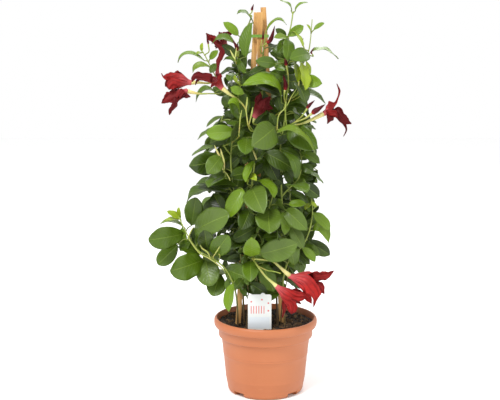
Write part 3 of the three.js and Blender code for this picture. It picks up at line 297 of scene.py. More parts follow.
def petal_paint(name, deep, flush, streak, roughness):
    """Petal skin, with painted shade in its folds: u runs round the flower, v from the throat, 0, to the lobe
    tips, 1.
    """
    paint = Paint(name, roughness, Specular_IOR_Level=0.15)
    u, v, _ = paint.uv()
    tone = paint.attribute("tint")[0]
    grain = paint.noise(120.0, 3.0)
    ribs = paint.math("ABSOLUTE", paint.math("SINE", paint.scaled(u, 62.0)))
    # Painted shade: narrow stripes across each petal, mixed toward the deep colour, stand in for the shade in
    # its folds.
    fold_shade = paint.math("ABSOLUTE", paint.math("SINE", paint.scaled(u, 39.3)))
    body = paint.mix(tone, deep, flush)
    body = paint.mix(paint.scaled(paint.ramp(grain, 0.35, 0.7), 0.4), body, deep)
    body = paint.mix(paint.scaled(paint.ramp(fold_shade, 0.75, 0.1), 0.4), body, deep)
    throat = paint.inverse(paint.ramp(v, 0.04, 0.46))
    soft = paint.math("ADD", 0.25, paint.scaled(paint.ramp(ribs, 0.2, 1.0), 0.5))
    body = paint.mix(paint.math("MULTIPLY", throat, soft), body, streak)
    body = paint.mix(paint.scaled(paint.ramp(v, 0.72, 1.0), 0.6), body, deep)
    paint.color(body)
    paint.bump(paint.math("ADD", grain, paint.scaled(ribs, 0.25)), 0.5, 0.0008)
    return paint.material


PETAL = petal_paint("petal_velvet", rgb(76, 7, 9), rgb(163, 33, 30), rgb(218, 112, 116), 0.6)
BUD = petal_paint("bud_skin", rgb(46, 10, 14), rgb(98, 16, 24), rgb(168, 44, 40), 0.45)


def pot_paint():
    """Terracotta-coloured plastic with a faint haze and scuffs."""
    paint = Paint("pot_plastic", 0.48)
    haze = paint.ramp(paint.noise(9.0, 4.0, (1, 1, 0.45)), 0.3, 0.75)
    body = paint.mix(paint.scaled(haze, 0.55), rgb(167, 96, 55), rgb(180, 110, 69))
    scuff = paint.ramp(paint.noise(70.0, 5.0, (1, 1, 3.0)), 0.66, 0.82)
    body = paint.mix(paint.scaled(scuff, 0.35), body, rgb(192, 130, 92))
    paint.color(body)
    paint.bump(paint.noise(420.0, 3.0), 0.08, 0.0003)
    return paint.material


def soil_paint():
    """Dark potting mix, with paler chips where the tint asks for them."""
    paint = Paint("potting_mix", 0.95)
    tone = paint.attribute("tint")[0]
    body = paint.mix(paint.ramp(paint.noise(190.0, 5.0), 0.35, 0.7), rgb(16, 11, 8), rgb(50, 36, 25))
    paint.color(paint.mix(tone, body, paint.mix(paint.noise(300.0), rgb(84, 62, 38), rgb(128, 100, 64))))
    paint.bump(paint.noise(500.0, 5.0), 0.8, 0.0015)
    return paint.material


def wood_paint():
    """Pale lath wood with long grain and dark flecks."""
    paint = Paint("lath_wood", 0.62)
    grain = paint.noise(26.0, 6.0, (9.0, 9.0, 0.35))
    body = paint.mix(paint.ramp(grain, 0.3, 0.7), rgb(176, 126, 66), rgb(206, 162, 98))
    fleck = paint.ramp(paint.noise(60.0, 3.0, (8.0, 8.0, 0.6)), 0.62, 0.74)
    body = paint.mix(paint.scaled(fleck, 0.6), body, rgb(128, 84, 42))
    paint.color(body)
    paint.bump(grain, 0.35, 0.0006)
    return paint.material


def plain_paint(name, color, other, scale, roughness):
    """Two close colours in soft patches."""
    paint = Paint(name, roughness)
    paint.color(paint.mix(paint.ramp(paint.noise(scale, 3.0), 0.3, 0.7), color, other))
    paint.bump(paint.noise(scale * 6, 2.0), 0.1, 0.0003)
    return paint.material


POT = pot_paint()
SOIL = soil_paint()
WOOD = wood_paint()
TIE = plain_paint("tie_band", rgb(118, 158, 62), rgb(96, 138, 48), 90.0, 0.5)
CARD = plain_paint("label_card", rgb(205, 208, 205), rgb(200, 204, 202), 40.0, 0.35)
CARD_BLUE = plain_paint("label_blue", rgb(196, 203, 207), rgb(192, 200, 205), 50.0, 0.35)
CARD_RED = plain_paint("label_red", rgb(200, 96, 94), rgb(190, 84, 84), 50.0, 0.35)

floor_paint = Paint("floor", 0.9)
floor_paint.color(rgb(250, 250, 250))


# ------------------------------------------------------------------ meshes

PLAIN_TINT = (0.5, 0.0, 0.5)


class Skin:
    """Points and faces that become one mesh, with a material, a UV and a tint for each."""

    def __init__(self):
        self.points, self.faces, self.slots, self.uvs, self.tints = [], [], [], [], []
        self.materials = []

    def add_faces(self, start, faces, material):
        if material not in self.materials:
            self.materials.append(material)
        slot = self.materials.index(material)
        self.faces += [[start + i for i in face] for face in faces]
        self.slots += [slot] * len(faces)

    def add(self, points, faces, material, tint=PLAIN_TINT, uvs=None):
        """Adds points with their faces, and gives the number of the first point."""
        start = len(self.points)
        self.points.extend(np.asarray(points, float))
        self.add_faces(start, faces, material)
        self.uvs.extend(uvs if uvs is not None else [(0.5, 0.5)] * len(points))
        self.tints.extend([tint] * len(points) if np.ndim(tint) == 1 else tint)
        return start

    def make(self, name, node=None, slot=None, smooth=True):
        """Makes the mesh, which then stands for the CAD node if one is named."""
        mesh = bpy.data.meshes.new(name)
        mesh.from_pydata([tuple(p * MM) for p in self.points], [], self.faces)
        for material in self.materials:
            mesh.materials.append(material)
        mesh.polygons.foreach_set("material_index", self.slots)
        mesh.polygons.foreach_set("use_smooth", [smooth] * len(self.faces))
        loops = np.zeros(len(mesh.loops), np.int32)
        mesh.loops.foreach_get("vertex_index", loops)
        layer = mesh.uv_layers.new(name="UVMap")
        layer.data.foreach_set("uv", np.array(self.uvs, np.float32)[loops].ravel())
        tint = mesh.color_attributes.new("tint", "FLOAT_COLOR", "POINT")
        tint.data.foreach_set("color", np.array([(*t, 1.0) for t in self.tints], np.float32).ravel())
        mesh.validate()
        obj = bpy.data.objects.new(name, mesh)
        bpy.context.scene.collection.objects.link(obj)
        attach(obj, ROOT)
        if node:
            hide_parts(node)
        return obj


def curve_point(points, t):
    """A point at share t, 0 to 1, of the smooth curve through the points."""
    spans = len(points) - 1
    i = min(int(spans * t), spans - 1)
    w = spans * t - i
    before = points[i - 1] if i > 0 else 2 * points[0] - points[1]
    after = points[i + 2] if i + 2 < len(points) else 2 * points[-1] - points[-2]
    start, end = points[i], points[i + 1]
    leave, arrive = (end - before) / 2, (after - start) / 2
    return (start + leave * w + (-3 * start + 3 * end - 2 * leave - arrive) * w ** 2
            + (2 * start - 2 * end + leave + arrive) * w ** 3)


def sample_curve(points, count):
    """Evenly shared places along the smooth curve through the points."""
    return [curve_point(points, i / (count - 1)) for i in range(count)]


def band(low, high, sides):
    """The quads between two rings of points, named by the first point of each."""
    return [[low + k, low + (k + 1) % sides, high + (k + 1) % sides, high + k] for k in range(sides)]


ODD_WAY = np.array([0.31, 0.52, 0.8])    # no tube runs this way, so a first side can be taken from it


def add_tube(skin, path, radii, material, sides=8, tints=PLAIN_TINT, swell=None):
    """A round tube along a path, closed at both ends."""
    path = np.asarray(path, float)
    count = len(path)
    tangents = [unit(path[min(i + 1, count - 1)] - path[max(i - 1, 0)]) for i in range(count)]
    side = side_of(tangents[0], ODD_WAY)
    points, uvs, colors = [], [], []
    for i in range(count):
        side = side_of(tangents[i], side)
        other = np.cross(tangents[i], side)
        for k in range(sides):
            angle = 2 * math.pi * k / sides
            radius = radii[i] * (1 + (swell(i / (count - 1), angle) if swell else 0))
            points.append(path[i] + radius * (math.cos(angle) * side + math.sin(angle) * other))
            uvs.append((k / sides, i / (count - 1)))
            colors.append(tints[i] if np.ndim(tints) == 2 else tints)
    faces = [quad for i in range(count - 1) for quad in band(i * sides, (i + 1) * sides, sides)]
    faces.append(list(range(sides))[::-1])
    faces.append([(count - 1) * sides + k for k in range(sides)])
    skin.add(points, faces, material, colors, uvs)


def sheet_faces(rows, columns):
    """The upper side, under side and rim of a thin sheet, whose lower points follow its upper ones."""
    count = rows * columns
    top = [[i * columns + j, i * columns + j + 1, (i + 1) * columns + j + 1, (i + 1) * columns + j]
           for i in range(rows - 1) for j in range(columns - 1)]
    bottom = [[count + k for k in reversed(quad)] for quad in top]
    loop = list(range(columns)) + [i * columns + columns - 1 for i in range(1, rows)]
    loop += [count - 1 - j for j in range(1, columns)] + [i * columns for i in range(rows - 2, 0, -1)]
    rim = [[b, a, count + a, count + b] for a, b in zip(loop, loop[1:] + loop[:1])]
    return top, bottom, rim


# ------------------------------------------------------------------ stems

# Radius, where it stands in the soil as x and y, and its route and branches as X, Z and depth y.
SOIL_TOP = 101.5
ROOT_DEPTH = 30
BARE_FOOT = 6                # no leaf grows lower than this above the soil
FAR = 1e6
STEMS = {
    "vine_left": dict(radius=1.4, foot=(-31, -20), route=[
        (-33, 150, -24), (-36, 200, -26), (-40, 255, -24), (-46, 300, -24), (-50, 345, -22),
        (-42, 395, -20), (-37, 440, -16), (-39, 480, -14), (-34, 510, -14), (-24, 530, -12),
        (-20, 540, -10)], branches=[
        [(-38, 425, -18), (-50, 428, -24), (-62, 440, -24), (-74, 462, -20), (-84, 482, -16),
         (-90, 492, -14)],
        [(-50, 345, -22), (-58, 356, -30), (-66, 374, -30), (-64, 392, -28), (-60, 402, -26)],
        [(-45, 290, -24), (-54, 300, -28), (-58, 318, -34), (-66, 338, -38), (-64, 348, -38)]]),
    "vine_front": dict(radius=1.4, foot=(-10, -27), route=[
        (-12, 150, -34), (-16, 200, -36), (-21, 250, -34), (-20, 300, -34), (-14, 350, -32),
        (-10, 390, -28), (-6, 430, -24), (-5, 465, -22), (-4, 490, -20), (0, 520, -17)], branches=[
        [(-18, 220, -36), (-6, 244, -42), (4, 266, -42), (10, 290, -36), (8, 316, -30)],
        [(-14, 350, -32), (-2, 364, -38), (8, 380, -38), (14, 402, -30)]]),
    "vine_right": dict(radius=1.4, foot=(17, -24), route=[
        (16, 150, -26), (20, 200, -26), (24, 250, -28), (22, 300, -28), (20, 350, -26),
        (27, 400, -24), (29, 440, -20), (30, 480, -18), (31, 508, -16), (35, 529, -12),
        (37.5, 546, -10)], branches=[
        [(28.5, 430, -21), (38, 450, -18), (50, 470, -16), (59, 490, -14), (62, 508, -12),
         (64, 535, -10)],
        [(23, 285, -28), (34, 298, -30), (46, 310, -30), (51, 330, -28), (49, 350, -26),
         (46, 366, -24)]]),
    "shoot_left": dict(radius=1.3, foot=(-40, -29), route=[
        (-42, 135, -34), (-48, 160, -38), (-59, 180, -40), (-73, 192, -40), (-84, 199, -38),
        (-97, 206, -36), (-108, 221, -34), (-117, 238, -32), (-125, 256, -30)], branches=[]),
    "shoot_right": dict(radius=1.3, foot=(27, -28), route=[
        (26, 140, -34), (26, 165, -40), (32, 188, -44), (44, 203, -44), (56, 218, -40),
        (64, 240, -34), (67, 262, -30), (65.5, 284, -28)], branches=[]),
    "vine_back_left": dict(radius=1.4, foot=(-34, 22), route=[
        (-38, 150, 24), (-44, 200, 28), (-48, 260, 30), (-46, 320, 28), (-44, 380, 26),
        (-38, 430, 24), (-30, 470, 20), (-26, 505, 16)], branches=[]),
    "vine_back": dict(radius=1.4, foot=(-2, 50), route=[
        (-4, 150, 50), (-10, 200, 48), (-14, 260, 44), (-4, 320, 40), (4, 380, 36), (-4, 430, 32),
        (-8, 475, 28)], branches=[]),
    "vine_back_right": dict(radius=1.4, foot=(20, 24), route=[
        (24, 150, 26), (32, 200, 28), (36, 260, 30), (32, 320, 30), (30, 380, 28), (30, 430, 26),
        (22, 470, 22), (18, 505, 18)], branches=[]),
}
BRANCH_RADIUS = 1.0
STEM_STEP = 5                # between the rings of points along a stem


def stem_lines(stem):
    """The main stem and its branches, each with its radius."""
    x, y = stem["foot"]
    rooted = [np.array([x, y, SOIL_TOP + up], float) for up in (-ROOT_DEPTH, -ROOT_DEPTH / 2, 2, 8)]
    main = rooted + [place(*p) for p in stem["route"]]
    lines = [(main, stem["radius"])]
    trunk = np.array(sample_curve(main, 400))
    for branch in stem["branches"]:
        first = place(*branch[0])
        start = trunk[np.argmin(np.linalg.norm(trunk - first, axis=1))]
        lines.append(([start] + [place(*p) for p in branch[1:]], BRANCH_RADIUS))
    return lines


LINES = {name: stem_lines(stem) for name, stem in STEMS.items()}
DENSE = {name: [(np.array(sample_curve(points, 300)), radius) for points, radius in lines]
         for name, lines in LINES.items()}


def nearest_on(name, target):
    """The nearest point of a stem to a target: its gap, place, direction and radius."""
    best = None
    for path, radius in DENSE[name]:
        gaps = np.linalg.norm(path - target, axis=1)
        gaps[path[:, 2] < SOIL_TOP + BARE_FOOT] = FAR
        i = int(np.argmin(gaps))
        if best is None or gaps[i] < best[0]:
            best = (gaps[i], path[i], unit(path[min(i + 1, len(path) - 1)] - path[max(i - 1, 0)]), radius)
    return best


# ------------------------------------------------------------------ leaves

# Leaves seen from the front: base X, Z, tip X, Z, seen width, layer, tone, and middle X, Z where the
# midrib curves. Tones: d dark, m middle, b bright, g glossy with a painted sheen, y young, p pale with a
# painted sheen.
LEAVES = {
    "vine_left": [
        (-39, 513, -60, 531, 12, 1, "b"), (-18, 530, -41, 542, 4, 1, "m", -30, 543),
        (-43, 500, -76, 501, 9, 1, "m", -60, 508), (-29, 483, -20, 530, 16, 0, "m"),
        (-42, 485, -62, 500, 14, 2, "d"), (-36, 470, -60, 478, 5, 1, "m", -50, 479),
        (-36, 458, -65, 457, 7, 2, "d", -50, 463), (-40, 481, -27, 461, 10, 1, "m"),
        (-38, 472, -30, 448, 8, 2, "d"), (-35, 443, -44, 458, 5, 0, "y"), (-31, 432, -50, 441, 12, 1, "b"),
        (-58, 430, -75, 441, 12, 2, "d"), (-72, 434, -99, 420, 7, 1, "m", -87, 436),
        (-86, 478, -123.5, 475, 5, 1, "b", -110, 485), (-79, 469, -103, 461, 8, 0, "p", -94, 470),
        (-70, 474, -79, 461, 10, 1, "m"), (-79, 480, -67, 492, 9, 1, "b"), (-90, 491, -89, 503, 5, 1, "y"),
        (-91, 489, -98, 488, 4, 1, "y"), (-37, 404, -54, 417, 7, 0, "b", -44, 420),
        (-40, 403, -60, 404, 11, 2, "d"), (-60, 400, -84, 385, 5, 2, "g"),
        (-44, 379, -85, 376, 22, 0, "b"), (-50, 372, -80, 362, 16, 1, "d"),
        (-68, 383, -97, 367, 4, 1, "g"), (-62, 358, -105, 344, 4, 1, "g"),
        (-62, 337, -109.5, 329.5, 32, 0, "d"), (-64, 343, -84, 318, 24, 0, "g"),
        (-56, 325, -38, 342, 14, 2, "d"), (-56, 325, -32, 331, 8, 2, "d"),
        (-60, 305, -100, 303, 9, 1, "d"), (-41, 301, -79, 300, 11, 1, "d"),
        (-52, 290, -114, 276, 9, 1, "d", -90, 290), (-40, 262, -62, 252, 16, 2, "d"),
        (-33, 296, -55.5, 253.5, 22, 0, "b"),
    ],
    "shoot_left": [
        (-104, 233, -52, 259, 32, 0, "g"), (-118, 231, -169, 222, 33, 1, "m"),
        (-127, 215, -156, 186, 24, 0, "m"), (-120, 240, -121, 213, 15, 0, "b"),
        (-93, 202, -127, 212, 14, 1, "m"), (-90, 193, -138.5, 176, 38, 0, "m"),
        (-88, 198, -79, 154, 34, 0, "g"), (-66, 172, -77, 139, 28, 2, "m"),
        (-76, 200, -54, 229, 28, 0, "m"), (-84, 208, -88, 236, 24, 0, "d"),
        (-123, 253, -142, 264, 8, 0, "y"), (-122, 255, -124, 270, 6, 0, "y"),
        (-125, 252, -144.5, 251, 4, 0, "y"), (-118, 240, -152, 245, 4, 1, "p", -135, 247),
        (-59, 180, -24, 166, 30, 1, "m"), (-107, 243, -100, 284, 27, 0, "m"),
        (-47, 158, -53.5, 115, 14, 0, "b"), (-51, 167, -57, 148, 9, 1, "m"),
        (-33, 165, -45, 150, 14, 2, "d"),
    ],
    "vine_front": [
        (13, 385, -20, 358, 38, 0, "g"), (-27, 370, -30, 346, 24, 0, "m"), (14, 385, 5, 405, 12, 1, "d"),
        (-17, 315, 0, 333, 10, 2, "d"), (-17, 337, -29, 306, 10, 0, "b"), (-20, 350, -38, 342, 8, 2, "d"),
        (-14, 308, 12.5, 283, 11, 0, "b", 3, 300), (-26, 303, -13, 308, 4, 0, "y", -20, 313),
        (-20, 298, -3, 260.5, 34, 0, "g"), (3, 268, 5.5, 230.5, 37, 0, "g"),
        (-8, 201, 47, 217, 33, 0, "g"), (-20, 198, -20, 226, 24, 0, "b"),
        (-22, 191, -22, 159.5, 24, 0, "m"), (-15, 240, -48, 222, 20, 1, "d"),
        (-22, 268, -35, 236, 24, 1, "d"), (-26, 300, -30, 259, 8, 1, "m"), (-5, 188, 12, 145, 24, 1, "m"),
        (5, 185, 21, 155, 14, 2, "m"), (-22, 158, 2, 142, 20, 1, "d"), (8, 197, 23, 184, 14, 2, "d"),
        (0, 468, -25, 458, 14, 1, "d"), (18, 403, -7, 437, 13, 2, "d"), (-33, 198, -58, 192, 12, 2, "d"),
        (1, 520, 28.5, 527.5, 4, 1, "b", 15, 532), (6, 318, 25, 304, 18, 2, "d"),
        (9, 310, 32, 283, 20, 2, "d"),
    ],
    "vine_right": [
        (28, 512, 13, 522, 10, 1, "d"), (30, 512, 52, 526, 13, 0, "b"), (39, 518, 51, 498, 5, 0, "y"),
        (31, 509, 11, 510, 8, 0, "p"), (31, 508, 28, 479, 18, 1, "m"), (60, 487, 33, 480, 20, 1, "m"),
        (60, 488, 101, 480, 4.5, 1, "b", 80, 491), (52, 452, 79, 446, 18, 0, "b"),
        (40, 476, 44, 448, 10, 0, "y"), (48, 477, 55, 437, 14, 0, "y"), (56, 478, 58, 455, 8, 0, "y"),
        (14, 474, -15, 478, 16, 0, "m"), (12, 470, 27, 464, 8, 1, "m"), (12, 470, 28, 478, 7, 1, "m"),
        (24, 452, -10, 453, 16, 1, "m"), (22, 419, -33, 443, 14, 0, "b", 5, 446),
        (16, 482, 5, 490, 6, 2, "d"), (35, 546, 19, 561, 3, 1, "b", 30.5, 554),
        (40, 546, 57.7, 558, 3, 1, "b", 47, 553.5), (66, 520, 81, 530, 6, 0, "b"),
        (62, 520, 56, 528, 3, 1, "y"), (30, 418, 84, 418, 8, 1, "m", 55, 430),
        (30, 425, 50, 436, 8, 2, "d"), (29, 413, 60, 407, 14, 1, "m", 45, 424),
        (16, 377, 71, 347, 7, 0, "p", 42, 374), (32, 384, 74, 354, 32, 1, "m"),
        (22, 350, 41.5, 309, 14, 0, "m", 38, 334), (21, 354, 50, 338, 12, 1, "d"),
        (48, 350, 77, 333, 12, 1, "m"), (50, 331, 69, 320, 14, 1, "d"), (53, 325, 82, 304, 4, 1, "m"),
        (45, 309, 56, 294, 18, 1, "g"), (48, 307, 77, 285, 20, 1, "d"), (33, 274, 58, 275, 10, 0, "b"),
        (34, 292, 60, 276, 8, 1, "d"), (29, 266, 60, 236, 25, 0, "g", 41, 255),
        (26, 264, 27, 229, 15, 1, "b"), (36, 242, 55, 209, 18, 0, "g"),
    ],
    "shoot_right": [
        (68, 236, 91, 217.5, 16, 0, "b", 82, 240), (68, 262, 93, 236, 14, 0, "b"),
        (60, 222, 93, 200, 20, 1, "d"), (57, 216, 78, 199, 14, 1, "m"), (52, 211, 72, 190, 11, 0, "b"),
        (45, 204, 64, 186, 11, 1, "d"), (40, 201, 58.5, 181.5, 7, 1, "m"), (28, 195, 51, 177, 12, 1, "m"),
        (30, 188, 39.5, 173.5, 4, 1, "m"), (65, 278, 73, 270, 5, 0, "y"), (64, 276, 57, 266, 5, 0, "y"),
        (24, 167, 50, 150, 8, 2, "d"),
    ],
}
TONES = {"d": (0.1, 0.0, 0.05), "m": (0.42, 0.0, 0.15), "b": (0.85, 0.1, 0.05), "g": (0.35, 0.0, 0.75),
         "y": (0.95, 0.75, 0.0), "p": (0.8, 0.25, 1.0)}        # tone, youth, painted sheen

WIDEST = 38                  # of all leaves
BLUNT = [row for row in LEAVES["shoot_left"] if row[4] > 14]    # the wide ones have round tips

# Leaves inside the plant, that have no solid of their own, in the same columns.
MORE_LEAVES = {
    "shoot_left": [
        (-92, 206, -104, 240, 20, 1, "d"), (-84, 205, -99, 231, 20, 2, "m"),
        (-68, 190, -92, 212, 18, 1, "d"), (-108, 224, -124, 206, 14, 1, "m"),
    ],
    "vine_front": [
        (0, 342, 17, 308, 22, 2, "d"), (-6, 364, 14, 342, 16, 2, "d"), (-20, 318, -4, 294, 14, 2, "d"),
        (2, 408, -16, 388, 16, 2, "d"),
    ],
    "vine_right": [
        (28, 324, 68, 310, 17, 2, "d"), (40, 356, 58, 338, 15, 2, "d"),
    ],
}

# The foliage fills an oval column about the canes, which tapers above COLUMN_TOP.
COLUMN_X, COLUMN_RX, COLUMN_RY = -5, 88, 70
COLUMN_TOP, COLUMN_TIP = 470, 570
LAYERS = [(0.7, 0.95), (0.5, 0.66), (0.3, 0.36)]     # share of the column's depth at a leaf's base and tip
BLADE_RATIO = 0.56
BLADE_ARCH = 0.07
BLADE_FOLD = 0.16
# Depths tried in turn for a leaf's base and tip, until it clears its neighbours, as in the CAD part.
NUDGES = [(0, 0), (0, -8), (0, 8), (-6, -6), (6, 6), (-6, -14), (6, 14), (-12, -12), (12, 12),
          (0, -16), (0, 16), (-12, -22), (12, 22), (-18, -18), (18, 18), (-24, -24), (24, 24), (-10, 10),
          (10, -10), (30, 30), (-30, -30), (36, 36), (-36, -36), (44, 44)]


def column_depth(x, z, share):
    """The depth y at a share, 0 to 1, of the way from the column's middle to its front."""
    taper = 1 if z < COLUMN_TOP else max(0.25, (COLUMN_TIP - z) / (COLUMN_TIP - COLUMN_TOP))
    across = min(1, abs(x - COLUMN_X) / COLUMN_RX)
    return -COLUMN_RY * taper * share * math.sqrt(1 - across * across)


def seen_leaf(row, nudge):
    """A leaf from its row in a table above. A leaf seen narrower than it is leans to its side."""
    bx, bz, tx, tz, seen_width, layer = row[:6]
    seen_length = math.hypot(tx - bx, tz - bz)
    length = max(seen_length, seen_width / BLADE_RATIO)
    forward = math.sqrt(length ** 2 - seen_length ** 2)
    base_depth = column_depth(bx, bz, LAYERS[layer][0])
    tip_depth = min(column_depth(tx, tz, LAYERS[layer][1]), base_depth - forward)
    base = place(bx, bz, base_depth + nudge[0])
    tip = place(tx, tz, tip_depth + nudge[1])
    reach = np.linalg.norm(tip - base)
    width = min(max(seen_width, 0.5 * reach), WIDEST)
    chord = unit(tip - base)
    facing = side_of(chord, np.array([0.0, -1.0, 0.0]))
    turn = np.cross(chord, facing)
    if np.dot(turn, [np.sign(tx - COLUMN_X), 0, 1.2]) < 0:
        turn = -turn
    lean = math.acos(min(1, seen_width / width))
    normal = facing * math.cos(lean) + turn * math.sin(lean)
    middle = (base + tip) / 2
    if len(row) > 7:
        middle = place(row[7], row[8], (base[1] + tip[1]) / 2)
    return dict(base=base, tip=tip, middle=middle + normal * BLADE_ARCH * reach, width=width,
                normal=normal, blunt=row in BLUNT)


def seeded(seed):
    """Numbers between 0 and 1 from a plain repeatable rule, the same as the CAD part's."""
    state = seed
    while True:
        state = (state * 16807) % 2147483647
        yield state / 2147483647


# Stems with leaves set out by rule: yaw that they face, and the heights between which they grow.
FACING = {
    "vine_back_left": (140, 128, 500), "vine_back": (90, 140, 470), "vine_back_right": (42, 128, 500),
    "vine_left": (185, 160, 500), "vine_right": (5, 160, 500),
}
PAIR_STEP = 36               # height from a pair of leaves to the next
PAIR_SPREAD = (62, 24)       # yaw of a pair's leaves to either side, in turn
TRIALS = 9
# A leaf's rise, length and stalk, each with what a whole draw adds to it.
RISE, LENGTH, STALK_LENGTH = (20, -60), (42, 16), (12, 10)
UPPER, UPPER_SHARE = 440, 0.75         # leaves are smaller above this height
PAIR_GAP = 6                 # in height, of a leaf from the middle of its pair
# How far rule-made leaves may reach to either side: height, lowest and highest X on the elevation.
REACH = [(118, -40, 26), (150, -56, 50), (200, -84, 70), (262, -94, 78), (340, -90, 76), (400, -80, 72),
         (440, -60, 62), (480, -48, 48), (520, -40, 40)]


def heading(yaw, rise):
    """The direction at a yaw and a rise in degrees."""
    yaw, rise = math.radians(yaw), math.radians(rise)
    return np.array([math.cos(yaw) * math.cos(rise), math.sin(yaw) * math.cos(rise), math.sin(rise)])


def point_at_height(points, z):
    """Where a rising curve reaches a height."""
    low, high = 0.0, 1.0
    for _ in range(30):
        middle = (low + high) / 2
        if curve_point(points, middle)[2] < z:
            low = middle
        else:
            high = middle
    return curve_point(points, low)


def rule_leaf(points, z, yaw, rise, length, stalk):
    """A leaf on a stalk that leaves the stem at height z."""
    root = point_at_height(points, z)
    base = root + heading(yaw, 25) * stalk
    direction = heading(yaw, rise)
    tip = base + direction * length
    normal = np.cross(direction, heading(yaw + 90, 0))
    middle = (base + tip) / 2 + normal * 1.6 * BLADE_ARCH * length
    return dict(base=base, tip=tip, middle=middle, width=BLADE_RATIO * length, normal=normal)


def seen_at(point):
    """Where a point is seen on the front elevation."""
    scale = (point[1] - EYE[1]) / -EYE[1]
    return EYE[0] + (point[0] - EYE[0]) / scale, EYE[2] + (point[2] - EYE[2]) / scale


def in_zone(zone, x, z):
    """Whether a place lies between the lowest and the highest X that a zone has at its height."""
    heights, low, high = np.array(zone, float).T
    return heights[0] < z < heights[-1] and np.interp(z, heights, low) <= x <= np.interp(z, heights, high)


def within_reach(point):
    """Whether a leaf that ends here stays inside the plant's outline."""
    return in_zone(REACH, *seen_at(point))


def rule_leaves(name, points, draw):
    """Pairs of leaves up a stem, each with the places that were tried for it."""
    out, low, high = FACING[name]
    step = 2 * PAIR_STEP if name in ("vine_left", "vine_right") else PAIR_STEP
    z, pair, leaves = low, 0, []
    while z < high:
        for hand in (-1, 1):
            trials = []
            for i in range(TRIALS):
                yaw = out + hand * PAIR_SPREAD[pair % 2] + (next(draw) - 0.5) * (18 + 14 * i)
                rise = RISE[0] + RISE[1] * next(draw) - 5 * i
                length = (LENGTH[0] + LENGTH[1] * next(draw)) * (1 - 0.04 * i)
                length *= UPPER_SHARE if z > UPPER else 1
                stalk = STALK_LENGTH[0] + STALK_LENGTH[1] * next(draw)
                trials.append((yaw, rise, length, stalk))
            leaves.append((z + PAIR_GAP * hand, trials))
        z += step
        pair += 1
    ruled = [[rule_leaf(points, height, *trial) for trial in trials] for height, trials in leaves]
    return [[leaf for leaf in trials if within_reach(leaf["tip"])] for trials in ruled]


MATCH = 0.02          # how near, in mm, a solid leaf's tip lies to the tip worked out here


def tree_of(points):
    """A search tree of numbered points."""
    tree = kdtree.KDTree(len(points))
    for k, point in enumerate(points):
        tree.insert(point, k)
    tree.balance()
    return tree


class TipFinder:
    """Says which of a leaf's places the CAD part settled on, by the tip in the node's mesh."""

    def __init__(self, node):
        self.tree = tree_of([vertex.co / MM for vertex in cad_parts[node].data.vertices])

    def chosen(self, candidates):
        for leaf in candidates:
            if self.tree.find(Vector(leaf["tip"]))[2] < MATCH:
                return leaf
        return None


ACROSS = np.array([-1, -0.8, -0.55, -0.28, -0.06, 0.06, 0.28, 0.55, 0.8, 1])     # columns of a blade
ALONG = 15
RIB_HALF, RIB_DEPTH = 0.12, 0.35
BLADE_HALF = 0.22
# Each blade draws its own waves along its edges, their size in its width, its twist, fold and fullness.
WAVES, RIPPLE, TWIST, FOLD, BELLY = (1.5, 3.0), (0.015, 0.05), (-0.16, 0.16), (0.8, 1.9), (0.85, 1.2)
TWIST_FROM = 0.4
NARROWEST_SHARE = 0.02


def blade_profile(t, blunt=False):
    """Half width, 0 to 1: full near the middle, with a short point at the tip unless it is blunt."""
    t = np.clip(t, 0.006, 0.994)
    if blunt:
        return np.sin(math.pi * t ** 1.35) ** 0.5
    return np.sin(math.pi * t) ** 0.62 * (1 - 0.5 * smoothstep(0.88, 1.0, t))


def arc(base, control, tip, t):
    """A leaf's midrib at share t of its length."""
    return (1 - t) ** 2 * base + 2 * t * (1 - t) * control + t * t * tip


def add_leaf(skin, leaf, tint, rng):
    """A thin blade, folded along its midrib, with waved edges and its own upper and under side."""
    base, tip, middle, width = leaf["base"], leaf["tip"], leaf["middle"], leaf["width"]
    control = 2 * middle - (base + tip) / 2
    across = unit(np.cross(tip - base, leaf["normal"]))
    waves, phase = rng.uniform(*WAVES), rng.uniform(0, TURN)
    ripple = width * rng.uniform(*RIPPLE)
    twist = rng.uniform(*TWIST)
    fold = BLADE_FOLD * rng.uniform(*FOLD)
    belly = rng.uniform(*BELLY)
    blunt = leaf.get("blunt", False)
    points, uvs = [], []
    for face in (1, -1):
        for i in range(ALONG + 1):
            t = i / ALONG
            centre = arc(base, control, tip, t)
            tangent = unit(2 * (1 - t) * (control - base) + 2 * t * (tip - control))
            side = side_of(tangent, across)
            up = np.cross(side, tangent)
            side = unit(side + up * twist * (t - TWIST_FROM))
            up = np.cross(side, tangent)
            full = blade_profile(t if blunt else t ** belly, blunt)
            reach = width / 2 * max(full, NARROWEST_SHARE)
            for s in ACROSS:
                lift = reach * fold * abs(s) ** 1.4
                lift += ripple * math.sin(waves * 2 * math.pi * t + phase + (1.3 if s > 0 else 0)) * s * s
                rib = RIB_DEPTH * (1 - t) * math.exp(-(s / RIB_HALF) ** 2) * (-0.6 if face > 0 else -1)
                thick = face * BLADE_HALF * (1 - 0.5 * abs(s) ** 3)
                points.append(centre + side * s * reach + up * (lift + rib + thick))
                uvs.append((0.5 + s / 2, t))
    top, bottom, rim = sheet_faces(ALONG + 1, len(ACROSS))
    start = skin.add(points, top + rim, LEAF_TOP, tint, uvs)
    skin.add_faces(start, bottom, LEAF_UNDER)


def add_petiole(skin, root, tangent, leaf, youth):
    """The leaf's own stalk, from its stem to its base."""
    base = leaf["base"]
    into = unit(leaf["middle"] - base)
    reach = np.linalg.norm(base - root)
    half = (root + base) / 2 + tangent * 0.08 * reach - into * 0.06 * reach
    path = sample_curve([root, half, base, base + into * 1.5], 9)
    radii = np.linspace(0.95, 0.62, 9)
    add_tube(skin, path, radii, STEM, 6, (0.4 + 0.4 * youth, 0.85 + 0.15 * youth, 0.5))


